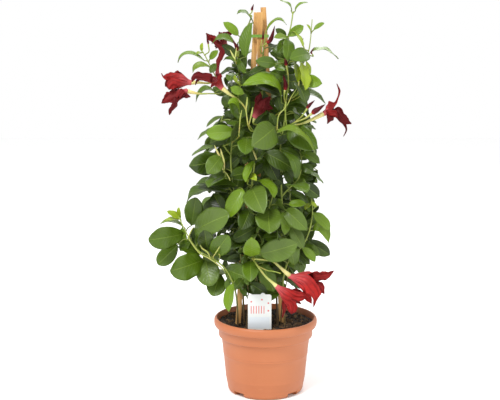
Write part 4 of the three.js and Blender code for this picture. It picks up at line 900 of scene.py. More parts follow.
# Where more leaves may show from the front: height on the front elevation, lowest and highest X.
FILL_ZONE = [
    (128, -30, 12), (150, -40, 26), (170, -50, 48), (186, -66, 54), (200, -88, 60), (215, -104, 70),
    (245, -106, 78), (262, -100, 78), (278, -84, 78), (300, -84, 76), (340, -86, 74), (380, -74, 70),
    (420, -58, 60), (450, -50, 55), (480, -45, 45), (505, -40, 40), (512, -30, 30),
]
BARE_TOP = 462               # above this the canes show between X -24 and 8
BARE_X = (-24, 8)
CANES = {"cane_left": ((-40, -15, 100), (-13.3, 4, 544.5)), "cane_middle": ((-8, 38, 100), (-9, -8, 544.5)),
         "cane_right": ((24, -12, 100), (-4.2, 4, 551.6))}
CANE_HALF, CANE_CLEAR = 4, 4.5
LEAF_GAP = 4.2               # least distance between the sample points of two leaves
BEHIND_FLOWERS, BEHIND_LEAVES = 3, 1
SHOWN_SHARE = 0.12           # how much of a new leaf may still cover those placed from the front
CELL = 4.0
GRID_LOW = (-180.0, 80.0)
GRID_SHAPE = (90, 126)
PETIOLE_LONGEST = 42
BELOW_BASE = np.array([0, 0, 4.0])     # a petiole rises from the stem's nearest point to this place


def blade_points(leaf, along=7, across=5, low=0.0):
    """Points spread over a leaf's blade."""
    base, tip, width = leaf["base"], leaf["tip"], leaf["width"]
    control = 2 * leaf["middle"] - (base + tip) / 2
    side = unit(np.cross(tip - base, leaf["normal"]))
    t = np.linspace(low, 1 - low, along)[:, None, None]
    s = np.linspace(2 * low - 1, 1 - 2 * low, across)[None, :, None]
    reach = width / 2 * blade_profile(t)
    return (arc(base, control, tip, t) + side * s * reach).reshape(-1, 3)


class View:
    """One side of the plant on a grid of cells: how near the nearest leaf lies, and where leaves may go."""

    def __init__(self, facing, project):
        self.facing = np.array(facing, float)
        self.project = project
        self.near = np.full(GRID_SHAPE, np.inf)
        self.flowers = np.full(GRID_SHAPE, np.inf)

    def cells(self, points):
        across, up, depth = self.project(np.asarray(points))
        i = np.clip(((across - GRID_LOW[0]) / CELL).astype(int), 0, GRID_SHAPE[0] - 1)
        j = np.clip(((up - GRID_LOW[1]) / CELL).astype(int), 0, GRID_SHAPE[1] - 1)
        return i, j, depth

    def cover(self, points, layer="near"):
        i, j, depth = self.cells(points)
        np.minimum.at(getattr(self, layer), (i, j), depth)


def see_front(points):
    """Where points are seen on the front elevation, and their depth."""
    scale = -EYE[1] / (points[:, 1] - EYE[1])
    return EYE[0] + (points[:, 0] - EYE[0]) * scale, EYE[2] + (points[:, 2] - EYE[2]) * scale, points[:, 1]


VIEWS = {
    "front": View((0, -1, 0.35), see_front),
    "back": View((0, 1, 0.35), lambda points: (-points[:, 0], points[:, 2], -points[:, 1])),
    "left": View((-1, 0, 0.35), lambda points: (-points[:, 1], points[:, 2], points[:, 0])),
    "right": View((1, 0, 0.35), lambda points: (points[:, 1], points[:, 2], -points[:, 0])),
}


def grown(mask, steps):
    """A mask made wider, or narrower with steps below 0, by whole cells."""
    mask = mask if steps > 0 else ~mask
    for _ in range(abs(steps)):
        wide = mask.copy()
        for axis in (0, 1):
            for step in (1, -1):
                wide |= np.roll(mask, step, axis)
        mask = wide
    return mask if steps > 0 else ~mask


def front_zone():
    """The cells of the front view where leaves may show."""
    mask = np.zeros(GRID_SHAPE, bool)
    for i in range(GRID_SHAPE[0]):
        for j in range(GRID_SHAPE[1]):
            x, z = GRID_LOW[0] + (i + 0.5) * CELL, GRID_LOW[1] + (j + 0.5) * CELL
            bare = z > BARE_TOP and BARE_X[0] < x < BARE_X[1]
            mask[i, j] = in_zone(FILL_ZONE, x, z) and not bare
    return mask


def off_canes(points):
    """Whether points keep off the canes."""
    for foot, top in CANES.values():
        foot, top = np.array(foot, float), np.array(top, float)
        share = np.clip((points - foot) @ (top - foot) / np.dot(top - foot, top - foot), 0, 1)
        if np.min(np.linalg.norm(points - foot - share[:, None] * (top - foot), axis=1)) < CANE_CLEAR:
            return False
    return True


TAKEN = np.zeros((0, 3))


def keep_clear(points, gap):
    """Whether points keep a gap to every leaf so far."""
    low, high = np.min(points, axis=0) - gap, np.max(points, axis=0) + gap
    near = TAKEN[np.all((TAKEN > low) & (TAKEN < high), axis=1)]
    if not len(near):
        return True
    return np.min(np.linalg.norm(near[:, None, :] - points[None, :, :], axis=2)) > gap


def take(leaf):
    """Notes a leaf's place for the leaves that follow."""
    global TAKEN
    TAKEN = np.vstack([TAKEN, blade_points(leaf)])
    for view in VIEWS.values():
        view.cover(blade_points(leaf, 14, 9, 0.12))


class StemFinder:
    """The nearest point of any stem above the soil, and the stem's name."""

    def __init__(self):
        rows = [(point, name) for name in STEMS for path, _ in DENSE[name] for point in path
                if point[2] > SOIL_TOP + BARE_FOOT]
        self.names = [name for _, name in rows]
        self.tree = tree_of([point for point, _ in rows])

    def find(self, point):
        spot, k, gap = self.tree.find(point)
        return gap, np.array(spot), self.names[k]


STEM_FINDER = StemFinder()


def aimed_leaf(view, centre, rng, shrink):
    """A leaf about a point, grown from the nearest stem and turned to face one side."""
    root = STEM_FINDER.find(centre)[1]
    length = rng.uniform(30, 50) * shrink
    away = unit(centre - root)
    stray = np.array([rng.uniform(-1, 1), rng.uniform(-1, 1) * 0.6, rng.uniform(-1, 0.5)])
    direction = unit(side_of(view.facing, 0.8 * away + stray) + view.facing * rng.uniform(-0.3, 0.5))
    base = centre - direction * length * 0.45
    tip = centre + direction * length * 0.55
    lean = np.array([rng.uniform(-0.6, 0.6), rng.uniform(-0.6, 0.6), rng.uniform(-0.2, 0.5)])
    normal = side_of(direction, view.facing + lean)
    middle = (base + tip) / 2 + normal * rng.uniform(0.03, 0.1) * length
    return dict(base=base, tip=tip, middle=middle, width=rng.uniform(0.54, 0.68) * length, normal=normal)


def fits(leaf, bounds):
    """Whether a leaf keeps to the free space, behind the flowers and the leaves placed from the front."""
    samples = blade_points(leaf)
    for view in VIEWS.values():
        i, j, _ = view.cells(samples)
        if not np.all(view.allowed[i, j]):
            return False
    if np.any(samples < bounds[0]) or np.any(samples > bounds[1]) or not off_canes(samples):
        return False
    i, j, depth = VIEWS["front"].cells(samples)
    flowers, hand = VIEWS["front"].flowers[i, j], HAND_NEAR[i, j]
    if np.any(np.isfinite(flowers) & (depth < flowers + BEHIND_FLOWERS)):
        return False
    if np.mean(np.isfinite(hand) & (depth < hand + BEHIND_LEAVES)) > SHOWN_SHARE:
        return False
    return keep_clear(samples, LEAF_GAP)


def cell_centre(view_name, i, j, rng):
    """A point of the plant seen in a cell."""
    u = GRID_LOW[0] + (i + rng.random()) * CELL
    z = GRID_LOW[1] + (j + rng.random()) * CELL
    if view_name == "front":
        return place(u, z, column_depth(u, z, rng.uniform(0.1, 0.66)))
    if view_name == "back":
        return np.array([-u, -column_depth(-u, z, rng.uniform(0.3, 0.9)), z])
    deep = math.sqrt(max(0, 1 - (u / COLUMN_RY) ** 2)) * COLUMN_RX * rng.uniform(0.4, 0.9)
    return np.array([COLUMN_X - deep, -u, z]) if view_name == "left" else np.array([COLUMN_X + deep, u, z])


def fill_view(view_name, tries, rng, bounds):
    """More leaves where a side shows gaps: each gap is tried a few times."""
    view = VIEWS[view_name]
    kept = []
    for shrink in SHRINKS:
        gaps = [tuple(cell) for cell in np.argwhere(view.allowed & (view.near > view.hide))]
        rng.shuffle(gaps)
        for i, j in gaps:
            for _ in range(tries):
                if view.near[i, j] <= view.hide[i, j]:
                    break
                leaf = aimed_leaf(view, cell_centre(view_name, i, j, rng), rng, shrink)
                gap, _, name = STEM_FINDER.find(leaf["base"] - BELOW_BASE)
                if gap < PETIOLE_LONGEST and fits(leaf, bounds):
                    take(leaf)
                    kept.append((name, leaf))
    return kept


def stem_tints(path, youngest=260):
    """Tints that turn from bark to green with height."""
    youth = smoothstep(115, youngest, path[:, 2])
    return np.stack([0.2 + 0.6 * youth, youth, np.full(len(path), 0.5)], axis=1)


def solid_leaves(name, draws):
    """The leaves that the CAD part's node holds, with their tones."""
    rng = random.Random(name)
    finder = TipFinder(name)
    rows = [([seen_leaf(row, nudge) for nudge in NUDGES], TONES[row[6]]) for row in LEAVES.get(name, [])]
    rows += [(trials, None) for trials in draws]
    found = []
    for candidates, tone in rows:
        leaf = finder.chosen(candidates)
        if leaf is not None:
            # Leaves set out by rule get a random tone and a random share of painted sheen.
            found.append((leaf, tone or (rng.uniform(0.1, 0.6), 0.0, rng.uniform(0, 0.5))))
            take(leaf)
            if tone:
                HAND_LEAVES.append(leaf)
    print(name, "leaves", len(found), "of", len(rows))
    return found


def build_stem(name, leaves):
    """A stem with its branches and leaves, which stands for its CAD node."""
    rng = random.Random(name + " skin")
    skin = Skin()
    for points, radius in LINES[name]:
        length = sum(np.linalg.norm(b - a) for a, b in zip(points, points[1:]))
        count = int(length / STEM_STEP) + 2
        path = np.array(sample_curve(points, count))
        share = np.linspace(0, 1, count)
        radii = radius * (1.12 - 0.5 * share) * (1 + 0.06 * np.sin(share * length / 9))
        add_tube(skin, path, radii, STEM, 9, stem_tints(path, 160 if "shoot" in name else 260))
    for leaf, tone in leaves:
        tint = (min(1, max(0, tone[0] + rng.uniform(-0.08, 0.08))), tone[1], tone[2])
        _, root, tangent, _ = nearest_on(name, leaf["base"] - BELOW_BASE)
        add_petiole(skin, root, tangent, leaf, tone[1])
        add_leaf(skin, leaf, tint, rng)
    skin.make("leafy_" + name, name, "foliage")


# Small things with no solid of their own. Young buds: how far forward, how yellow, and X, Z and width
# along each. Pale stalks: X, Z, depth and width along each. Bare stems: x, y and z.
YOUNG_BUDS = [
    (0.9, 0.3, [(-43, 479, 1.4), (-47, 486, 2.6), (-50.5, 493, 0.8)]),
    (0.85, 0.3, [(-44, 479, 1.2), (-42.5, 488, 2.2), (-41.5, 496, 0.8)]),
    (0.95, 0.1, [(-38.5, 371, 1.5), (-37, 390, 1.7), (-36, 400, 2.4), (-34, 409, 0.9)]),
    (0.95, 0.2, [(-24, 388, 1.4), (-22, 396, 1.8), (-20, 405, 2.6), (-18.5, 413, 0.8)]),
    (0.95, 0.2, [(-25, 388, 1.4), (-28, 408, 1.5), (-27, 418, 2.6), (-26.5, 427, 1.0)]),
    (1.0, 0.55, [(-61, 322, 1.6), (-63, 335, 3.0), (-67, 345, 3.2), (-71, 354, 2.2), (-73, 359, 0.6)]),
    (0.98, 0.5, [(-59, 324, 1.6), (-60, 337, 3.0), (-63, 348, 2.4), (-64.5, 354, 0.6)]),
    (0.98, 0.4, [(-61, 323, 1.8), (-56, 318, 1.8), (-52, 311, 1.2), (-51, 308, 0.5)]),
    (0.8, 0.5, [(-19, 353, 0.8), (-17.5, 350, 2.2), (-15.5, 345, 2.8), (-13, 338, 1.6)]),
    (0.75, 0.1, [(15.5, 381, 1.7), (18, 401, 1.8), (27, 412, 2.0), (28, 421, 1.8)]),
    (0.75, 0.0, [(29, 385, 1.5), (27.5, 405, 1.6), (27, 418, 1.5)]),
    (0.75, 0.0, [(30, 416, 1.3), (36, 428, 1.2), (44, 440, 1.0)]),
    (0.7, 0.3, [(45, 432, 1.5), (46, 445, 2.2), (47, 458, 1.0)]),
    (0.7, 0.3, [(50, 430, 1.5), (52, 446, 2.2), (51, 462, 1.0)]),
    (0.8, 0.3, [(-66, 200, 2.2), (-78, 214, 2.0), (-84, 226, 1.5)]),
]
BARE_STEMS = [
    [(-27, -30, 90), (-27, -30, 108), (-25, -32, 150), (-29, -32, 190), (-30, -32, 222)],
    [(6, -26, 90), (6, -26, 108), (3, -30, 140), (-2, -34, 176), (-6, -36, 214)],
    [(22, -20, 90), (22, -20, 108), (24, -24, 138), (30, -30, 170), (34, -32, 212)],
    [(-14, -22, 90), (-14, -22, 108), (-9, -28, 138), (-14, -32, 180), (-12, -34, 222)],
]
PALE_STALKS = [
    [(-60, 177, -45, 1.6), (-72, 188, -46, 2.0), (-84, 196, -45, 2.0), (-95, 202, -43, 1.8),
     (-106, 216, -41, 1.6), (-114, 231, -39, 1.0)],
    [(-80, 195, -46, 1.4), (-84, 204, -47, 2.4), (-92, 210, -46, 2.0), (-95, 217, -45, 0.8)],
    [(-76, 197, -46, 1.2), (-70, 206, -49, 2.0), (-64, 216, -49, 1.6), (-60, 224, -47, 0.6)],
    [(-112, 225, -39, 1.2), (-108, 234, -41, 1.8), (-104, 241, -43, 0.8)],
]
PALE_YELLOW = 0.25
LEAD_RADIUS = 0.75
YOUNG_PATHS = []             # the path, radii and yellowness of each of these buds and stalks


def plan_young(points, widths, yellow):
    """Six places along a bud or stalk for each of its stations."""
    count = 6 * len(points)
    radii = np.interp(np.linspace(0, len(points) - 1, count), range(len(points)), np.array(widths) / 2)
    YOUNG_PATHS.append((np.array(sample_curve(points, count)), radii, yellow))


for share, yellow, stations in YOUNG_BUDS:
    plan_young([place(x, z, column_depth(x, z, share)) for x, z, _ in stations],
               [station[2] for station in stations], yellow)
for stations in PALE_STALKS:
    plan_young([place(*station[:3]) for station in stations], [station[3] for station in stations],
               PALE_YELLOW)


def build_young():
    """Pale young buds and spent flower tubes, and bare stems low down between the canes."""
    buds, stems = Skin(), Skin()
    for path, radii, yellow in YOUNG_PATHS:
        add_tube(buds, path, radii, STALK, 8, (0.5, yellow, 0.5))
        root = STEM_FINDER.find(path[0] - 2 * BELOW_BASE)[1]
        lead = sample_curve([root, (root + path[0]) / 2 - BELOW_BASE / 2, path[0], path[1]], 12)
        add_tube(buds, lead, np.full(12, LEAD_RADIUS), STALK, 6, PLAIN_TINT)
    for points in BARE_STEMS:
        path = np.array(sample_curve([np.array(point, float) for point in points], 40))
        add_tube(stems, path, np.linspace(0.95, 0.7, 40), STEM, 8, stem_tints(path))
    buds.make("young_buds", None, "pale_stalk")
    stems.make("bare_stems", None, "foliage")


CANE_STEPS = 240
FILL_TRIES = {"front": 16, "back": 9, "left": 12, "right": 12}
SHRINKS = (1.0, 0.8, 0.62, 0.5)        # smaller and smaller leaves are tried
WIDER, NARROWER = 4, -3      # in cells: closes the gaps in a side's outline, then draws it in
# Tone and painted sheen of the leaves that fill gaps; their low tones are partly older inner leaves and
# partly painted shade inside the plant.
FILL_TONE_AND_SHADE, FILL_PAINTED_SHEEN = (0.0, 0.3), (0.0, 0.25)
draw = seeded(1907)
RULED = {name: rule_leaves(name, LINES[name][0][0], draw) for name in FACING}
HAND_LEAVES = []
GROWN = {name: solid_leaves(name, RULED.get(name, [])) for name in STEMS}
for name, rows in MORE_LEAVES.items():
    for row in rows:
        more = seen_leaf(row, (0, 0))
        take(more)
        GROWN[name].append((more, TONES[row[6]]))
HAND_NEAR = np.full(GRID_SHAPE, np.inf)
for hand_leaf in HAND_LEAVES:
    i_cells, j_cells, depths = VIEWS["front"].cells(blade_points(hand_leaf, 14, 9, 0.03))
    np.minimum.at(HAND_NEAR, (i_cells, j_cells), depths)


def mark_canes(view, half):
    """Marks the cells of a side where a cane may show, and how deep it lies."""
    view.hide = np.full(GRID_SHAPE, FAR)
    for foot, top in CANES.values():
        for step in np.linspace(0, 1, CANE_STEPS):
            middle = np.array(foot, float) * (1 - step) + np.array(top, float) * step
            i, j, depth = view.cells([middle - half, middle, middle + half])
            np.minimum.at(view.hide, (i, j), depth)
    view.hide[:, int((BARE_TOP - GRID_LOW[1]) / CELL):] = FAR


def mark_flowers(view):
    """Marks the cells that show flowers, buds, stalks and the label."""
    for name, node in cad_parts.items():
        if name.split("_")[0] in ("stalk", "bloom", "bud", "label"):
            corners = np.array([vertex.co for vertex in node.data.vertices]) / MM
            middles = np.array([np.mean([corners[k] for k in face.vertices], axis=0)
                                for face in node.data.polygons])
            view.cover(np.vstack([corners, middles]), "flowers")
    for path, _, _ in YOUNG_PATHS:
        view.cover(path, "flowers")


def fill_gaps():
    """Grows more leaves on each side in turn, where canes or light would show through."""
    for view_name, view in VIEWS.items():
        view.allowed = grown(grown(np.isfinite(view.near), WIDER), NARROWER)
        mark_canes(view, (CANE_HALF, 0, 0) if view_name in ("front", "back") else (0, CANE_HALF / 2, 0))
    VIEWS["front"].allowed = front_zone()
    mark_flowers(VIEWS["front"])
    rng = random.Random("fill")
    bounds = (np.array(cad_box[0]) / MM + 1, np.array(cad_box[1]) / MM - 1)
    for view_name, tries in FILL_TRIES.items():
        for stem_name, leaf in fill_view(view_name, tries, rng, bounds):
            GROWN[stem_name].append((leaf, (rng.uniform(*FILL_TONE_AND_SHADE), 0.0, rng.uniform(*FILL_PAINTED_SHEEN))))


fill_gaps()
for stem_name, leaves in GROWN.items():
    print(stem_name, "leaves in all", len(leaves))
    build_stem(stem_name, leaves)
build_young()


# ------------------------------------------------------------------ flower stalks

# Each stalk's stem, and its arms as X, Z, depth and radius.
STALKS = {
    "stalk_far_left_up": ("vine_left", [
        [(-72, 449, -32, 0.9), (-81, 446.5, -36, 1.2), (-94, 447.5, -40, 1.8), (-106, 447.5, -42, 3.4)]]),
    "stalk_far_left_low": ("vine_left", [
        [(-66, 432, -36, 0.9), (-80, 432, -42, 0.9), (-95, 432, -46, 1.4), (-112, 435.5, -48, 3.2)]]),
    "stalk_centre": ("vine_front", [
        [(-22, 380, -40, 0.9), (-26, 390, -42, 0.9), (-29, 410, -42, 1.0), (-38, 422, -42, 1.3),
         (-51, 431, -44, 2), (-62, 440, -46, 3.6)]]),
    "stalk_deep": ("vine_front", [[(-18, 390, -36, 1.0), (-16, 399, -38, 2.4)]]),
    "stalk_left_top": ("vine_left", [[(-46, 491, -10, 1.0), (-54, 496, -6, 3.0)]]),
    "stalk_right": ("vine_right", [
        [(26, 385, -38, 0.9), (34, 387, -44, 1.1), (50, 389.5, -46, 1.4), (62, 394, -46, 2),
         (82, 404, -46, 3.6)],
        [(34, 387, -44, 0.9), (40, 391, -50, 0.9), (55, 397, -52, 1.1), (65, 404, -52, 1.8)],
        [(40, 391, -50, 0.8), (50.5, 400, -51, 0.8), (58, 411, -50, 1.4)]]),
    "stalk_right_high": ("vine_right", [
        [(25, 409, -34, 0.9), (27, 418, -38, 0.9), (31, 440, -38, 0.9), (31, 457, -34, 0.9),
         (28.5, 471, -31, 1.3)],
        [(27, 418, -38, 0.8), (25.5, 428, -41, 0.9), (26.6, 437, -41, 1.6)]]),
    "stalk_low": ("vine_front", [
        [(-19, 194, -56, 1.1), (0, 192.4, -61, 1.2), (11, 190, -62, 1.4), (21, 181.5, -62, 1.9),
         (35, 169, -62, 3.6)],
        [(-18, 193.6, -57, 1.1), (-12, 184, -66, 1.2), (0, 168, -69, 1.4), (10, 159, -69, 2),
         (16.5, 152.8, -69, 3.2)],
        [(-12, 184, -66, 0.8), (2, 177, -65, 0.8), (12, 175.5, -69, 0.8), (22, 172.5, -72, 0.8)]]),
    "stalk_bud_top_left": ("vine_left", [[(-20.2, 544.4, -9.5, 0.8), (-19.8, 547, -9, 1.1)]]),
    "stalk_bud_top": ("vine_front", [
        [(-7.5, 489, -28, 0.8), (-8, 497, -30, 0.8), (-5.5, 507, -30, 1.0)],
        [(-8, 497, -30, 0.8), (-2, 500, -30, 0.8), (1, 502.5, -30, 1.4)]]),
    "stalk_bud_left": ("vine_left", [[(-40.5, 484, -22, 0.8), (-41, 492, -24, 1.3)]]),
    "stalk_bud_far_left": ("vine_left", [[(-80, 491, -22, 0.8), (-81, 501, -22, 1.0)]]),
    "stalk_bud_right": ("vine_right", [[(54, 494, -20, 0.8), (51, 501, -20, 0.9)]]),
    "stalk_bud_right_high": ("vine_right", [[(66, 484, -20, 0.8), (64.5, 487.5, -21, 0.9)]]),
}
LEAD = 2.2                   # how far a stalk stands straight out of its stem
STALK_SINK, STALK_SWELL = 0.2, 1.3     # how it starts in the stem, and how much thicker
PALE_RADIUS, PALE_SPAN = 1.0, 1.6      # a stalk turns pale from this radius on, within this span
ENDS = {}                    # place and direction of the end of each stalk's arms


def build_stalk(name, stem, arms):
    """A tube for each arm: pale where it is wide, and rooted in the stem by its first arm."""
    skin = Skin()
    ENDS[name] = []
    for number, arm in enumerate(arms):
        points = [place(*p[:3]) for p in arm]
        radii = [p[3] for p in arm]
        if number == 0:
            _, root, tangent, radius = nearest_on(stem, points[0])
            out = side_of(tangent, points[0] - root)
            points = [root + out * STALK_SINK, root + out * (radius + LEAD)] + points
            radii = [radii[0] * STALK_SWELL, radii[0]] + radii
        spans = len(points) - 1
        count = 4 * spans + 1
        path = np.array(sample_curve(points, count))
        stops = np.linspace(0, spans, count)
        widths = np.interp(stops, np.arange(spans + 1), radii)
        ENDS[name].append((path[-1], unit(path[-1] - path[-2])))
        youth = np.clip((widths - PALE_RADIUS) / PALE_SPAN, 0, 1)
        tints = np.stack([np.full(count, 0.5), youth, np.full(count, 0.5)], axis=1)
        add_tube(skin, path, widths, STALK, 10, tints)
    skin.make("tube_" + name, name, "pale_stalk")


for stalk_name, (stem_name, stalk_arms) in STALKS.items():
    build_stalk(stalk_name, stem_name, stalk_arms)


# ------------------------------------------------------------------ blooms

# Each bloom's stalk and arm, its tone, its mouth as X, Z, depth and radius, and the spine of each of its five
# lobes as X, Z, depth and width. A tone runs from dark, 0, to bright, 1, and is partly the bloom's own colour
# and partly painted shade.
BLOOMS = {
    "bloom_far_left_up": dict(on=("stalk_far_left_up", 0), tone=0.55, mouth=(-121, 450, -44, 9.5), lobes=[
        [(-123.5, 459, -43, 10), (-133, 458.5, -43, 0)],
        [(-132, 455, -46, 13), (-140, 455.5, -47, 9), (-144.5, 456, -47, 2), (-147, 460.5, -47, 0)],
        [(-131, 446, -55, 14), (-136, 441, -57, 10), (-136.5, 437.5, -57, 0)],
        [(-126, 442.5, -45, 7), (-131, 440, -45, 0)],
        [(-130, 450, -36, 13), (-138, 447, -36, 10), (-142, 442, -36, 0)]]),
    "bloom_far_left_low": dict(on=("stalk_far_left_low", 0), tone=0.25, mouth=(-119, 432.5, -52, 6), lobes=[
        [(-131, 429, -52, 15), (-139, 425, -53, 13), (-144, 421, -53, 6), (-147.5, 418.5, -53, 0)],
        [(-126.5, 424, -56, 8), (-129.5, 415.5, -57, 7), (-135, 408.5, -57, 5.5), (-136.5, 402, -57, 0)],
        [(-112, 429.5, -59, 7), (-106.5, 427.5, -60, 0)],
        [(-121, 429.5, -61, 5), (-121.5, 424.5, -62, 0)],
        [(-124, 434, -43, 9), (-130, 436, -40, 6), (-136, 435, -40, 0)]]),
    "bloom_centre": dict(on=("stalk_centre", 0), tone=0.5, mouth=(-70, 451, -50, 7.5), lobes=[
        [(-80, 454, -52, 13), (-90, 456, -53, 10.5), (-98, 457, -53, 9), (-102, 454, -53, 6),
         (-104, 448.5, -53, 0)],
        [(-68.5, 461, -48, 6), (-67.5, 469, -46, 3.5), (-67, 477, -45, 6), (-63, 485, -44, 8),
         (-62, 492, -43, 6), (-67, 499, -42, 4), (-73, 503, -41, 0)],
        [(-74, 446, -57, 6), (-78, 440.5, -58, 0)],
        [(-77, 452, -42, 9), (-90, 453, -47, 5), (-97, 450, -48, 3), (-99.5, 444, -48, 0)],
        [(-65, 455, -57, 6), (-64, 461, -59, 0)]]),
    "bloom_left_top": dict(on=("stalk_left_top", 0), tone=0.3, mouth=(-62, 502, -2, 8), lobes=[
        [(-73, 508, -5, 10), (-78, 510, -6, 8), (-84, 516, -6, 0)],
        [(-58, 512.5, -7, 10), (-52, 515.5, -9, 6), (-48, 514.5, -10, 0)],
        [(-68, 500, 4, 11), (-72, 498, 6, 0)],
        [(-60, 493, 5, 8), (-60, 484, 7, 0)],
        [(-64, 511, 5, 11), (-66, 518, 10, 0)]]),
    # Painted shade: this bloom lies deep inside the plant, so it has the darkest tone.
    "bloom_deep": dict(on=("stalk_deep", 0), tone=0.0, mouth=(-8, 413, -40, 7.5), lobes=[
        [(-10, 424, -38, 10), (-7, 433, -37, 0)],
        [(0, 422, -41, 11), (6, 428, -42, 0)],
        [(2, 413, -38, 9), (10, 411, -36, 0)],
        [(-6, 417, -48, 9), (-1, 425, -50, 0)],
        [(-12, 421, -33, 8), (-14, 428, -31, 0)]]),
    "bloom_right": dict(on=("stalk_right", 0), tone=0.4, mouth=(90, 408, -49, 7.5), lobes=[
        [(91, 415.5, -47, 13), (97.5, 418.5, -46, 4), (101.5, 427, -46, 2.2), (103.3, 436, -46, 2.6),
         (99.5, 446, -46, 0)],
        [(100.5, 406.5, -54, 14), (107.5, 399.5, -55, 11), (113.5, 393, -55, 9), (121, 389.5, -55, 0)],
        [(101, 402, -44, 9), (110, 391, -43, 5), (114, 381, -43, 2.2), (110, 371.5, -43, 0)],
        [(92, 400.5, -53, 12), (87, 389.5, -53, 0)],
        [(98, 403.5, -61, 9), (101.5, 398.5, -62, 0)]]),
    "bloom_low_right": dict(on=("stalk_low", 0), tone=0.95, mouth=(58, 161, -68, 13), lobes=[
        [(71, 168.5, -66, 17), (83, 169, -67, 14), (91, 171, -67, 9), (99, 176.5, -67, 0)],
        [(75, 155, -60, 14), (81, 150, -58, 11), (85.5, 142, -58, 0)],
        [(67, 150, -82, 20), (73, 141, -85, 14), (72, 132, -85, 5), (70, 122.5, -85, 0)],
        [(57, 146, -76, 13), (62, 137, -77, 11), (67, 127.5, -77, 0)],
        [(67, 167, -53, 14), (80, 165, -51, 0)]]),
    "bloom_low_centre": dict(on=("stalk_low", 1), tone=0.75, mouth=(31, 141, -73, 9), lobes=[
        [(27, 129, -74, 7), (27.5, 119, -75, 5), (24.5, 106.5, -75, 0)],
        [(37, 128, -83, 15), (39.5, 119, -86, 14), (38, 112, -86, 0)],
        [(45, 139, -79, 13), (54, 138, -80, 10), (59.5, 138, -80, 0)],
        [(39, 145.5, -64, 8), (49, 145, -58, 6), (57, 140, -57, 0)],
        [(41, 134, -65, 10), (52, 127, -64, 0)]]),
}
PETALS = 5
BLOOM_GAP = 0.75             # from the end of a stalk to the start of its bloom
TUBE_RADIUS, TUBE_SINK = 3.1, 1.6
THROAT_RADIUS, THROAT_LENGTH = 4.4, 4
MIDDLE_BULGE = 1.12          # how much further out a petal's middle lies at the mouth
LOBE_PULL = 0.35
LOBE_TWIST = 0.75
NARROWEST = 0.8
PETAL_HALF = 0.3
CUP = (-0.1, 0.22)           # how hollow a petal is, as a share of its width
WAVE_SHARE = 0.13
FREE_FROM, FREE_AT = 0.4, 0.62         # where the petals begin to part, and have parted, along them
SLOPE_STEP = 0.04
SHADE = 0.4                  # how much darker a petal's outer side is
ROUND, SPAN_ROWS = 14, 9


def bloom_frame(on, mouth, lobes):
    """The start, mouth centre and axes of a bloom, its lobes' spines in turn, and their turns."""
    end, direction = ENDS[on[0]][on[1]]
    start = end + direction * BLOOM_GAP
    centre = place(*mouth[:3])
    axis = unit(centre - start)
    first = side_of(axis, np.array([0.2, 0.3, 1.0]))
    second = np.cross(axis, first)
    spines = []
    for stations in lobes:
        points = [place(*station[:3]) for station in stations]
        away = points[0] - centre
        spines.append((math.atan2(np.dot(away, second), np.dot(away, first)), points,
                       [station[3] for station in stations]))
    spines.sort(key=lambda spine: spine[0])
    turns = []
    for i, (turn, _, _) in enumerate(spines):
        even = 2 * math.pi * (i + 0.5) / PETALS - math.pi
        turns.append(even + LOBE_PULL * (turn - even))
    return start, centre, axis, first, second, spines, turns


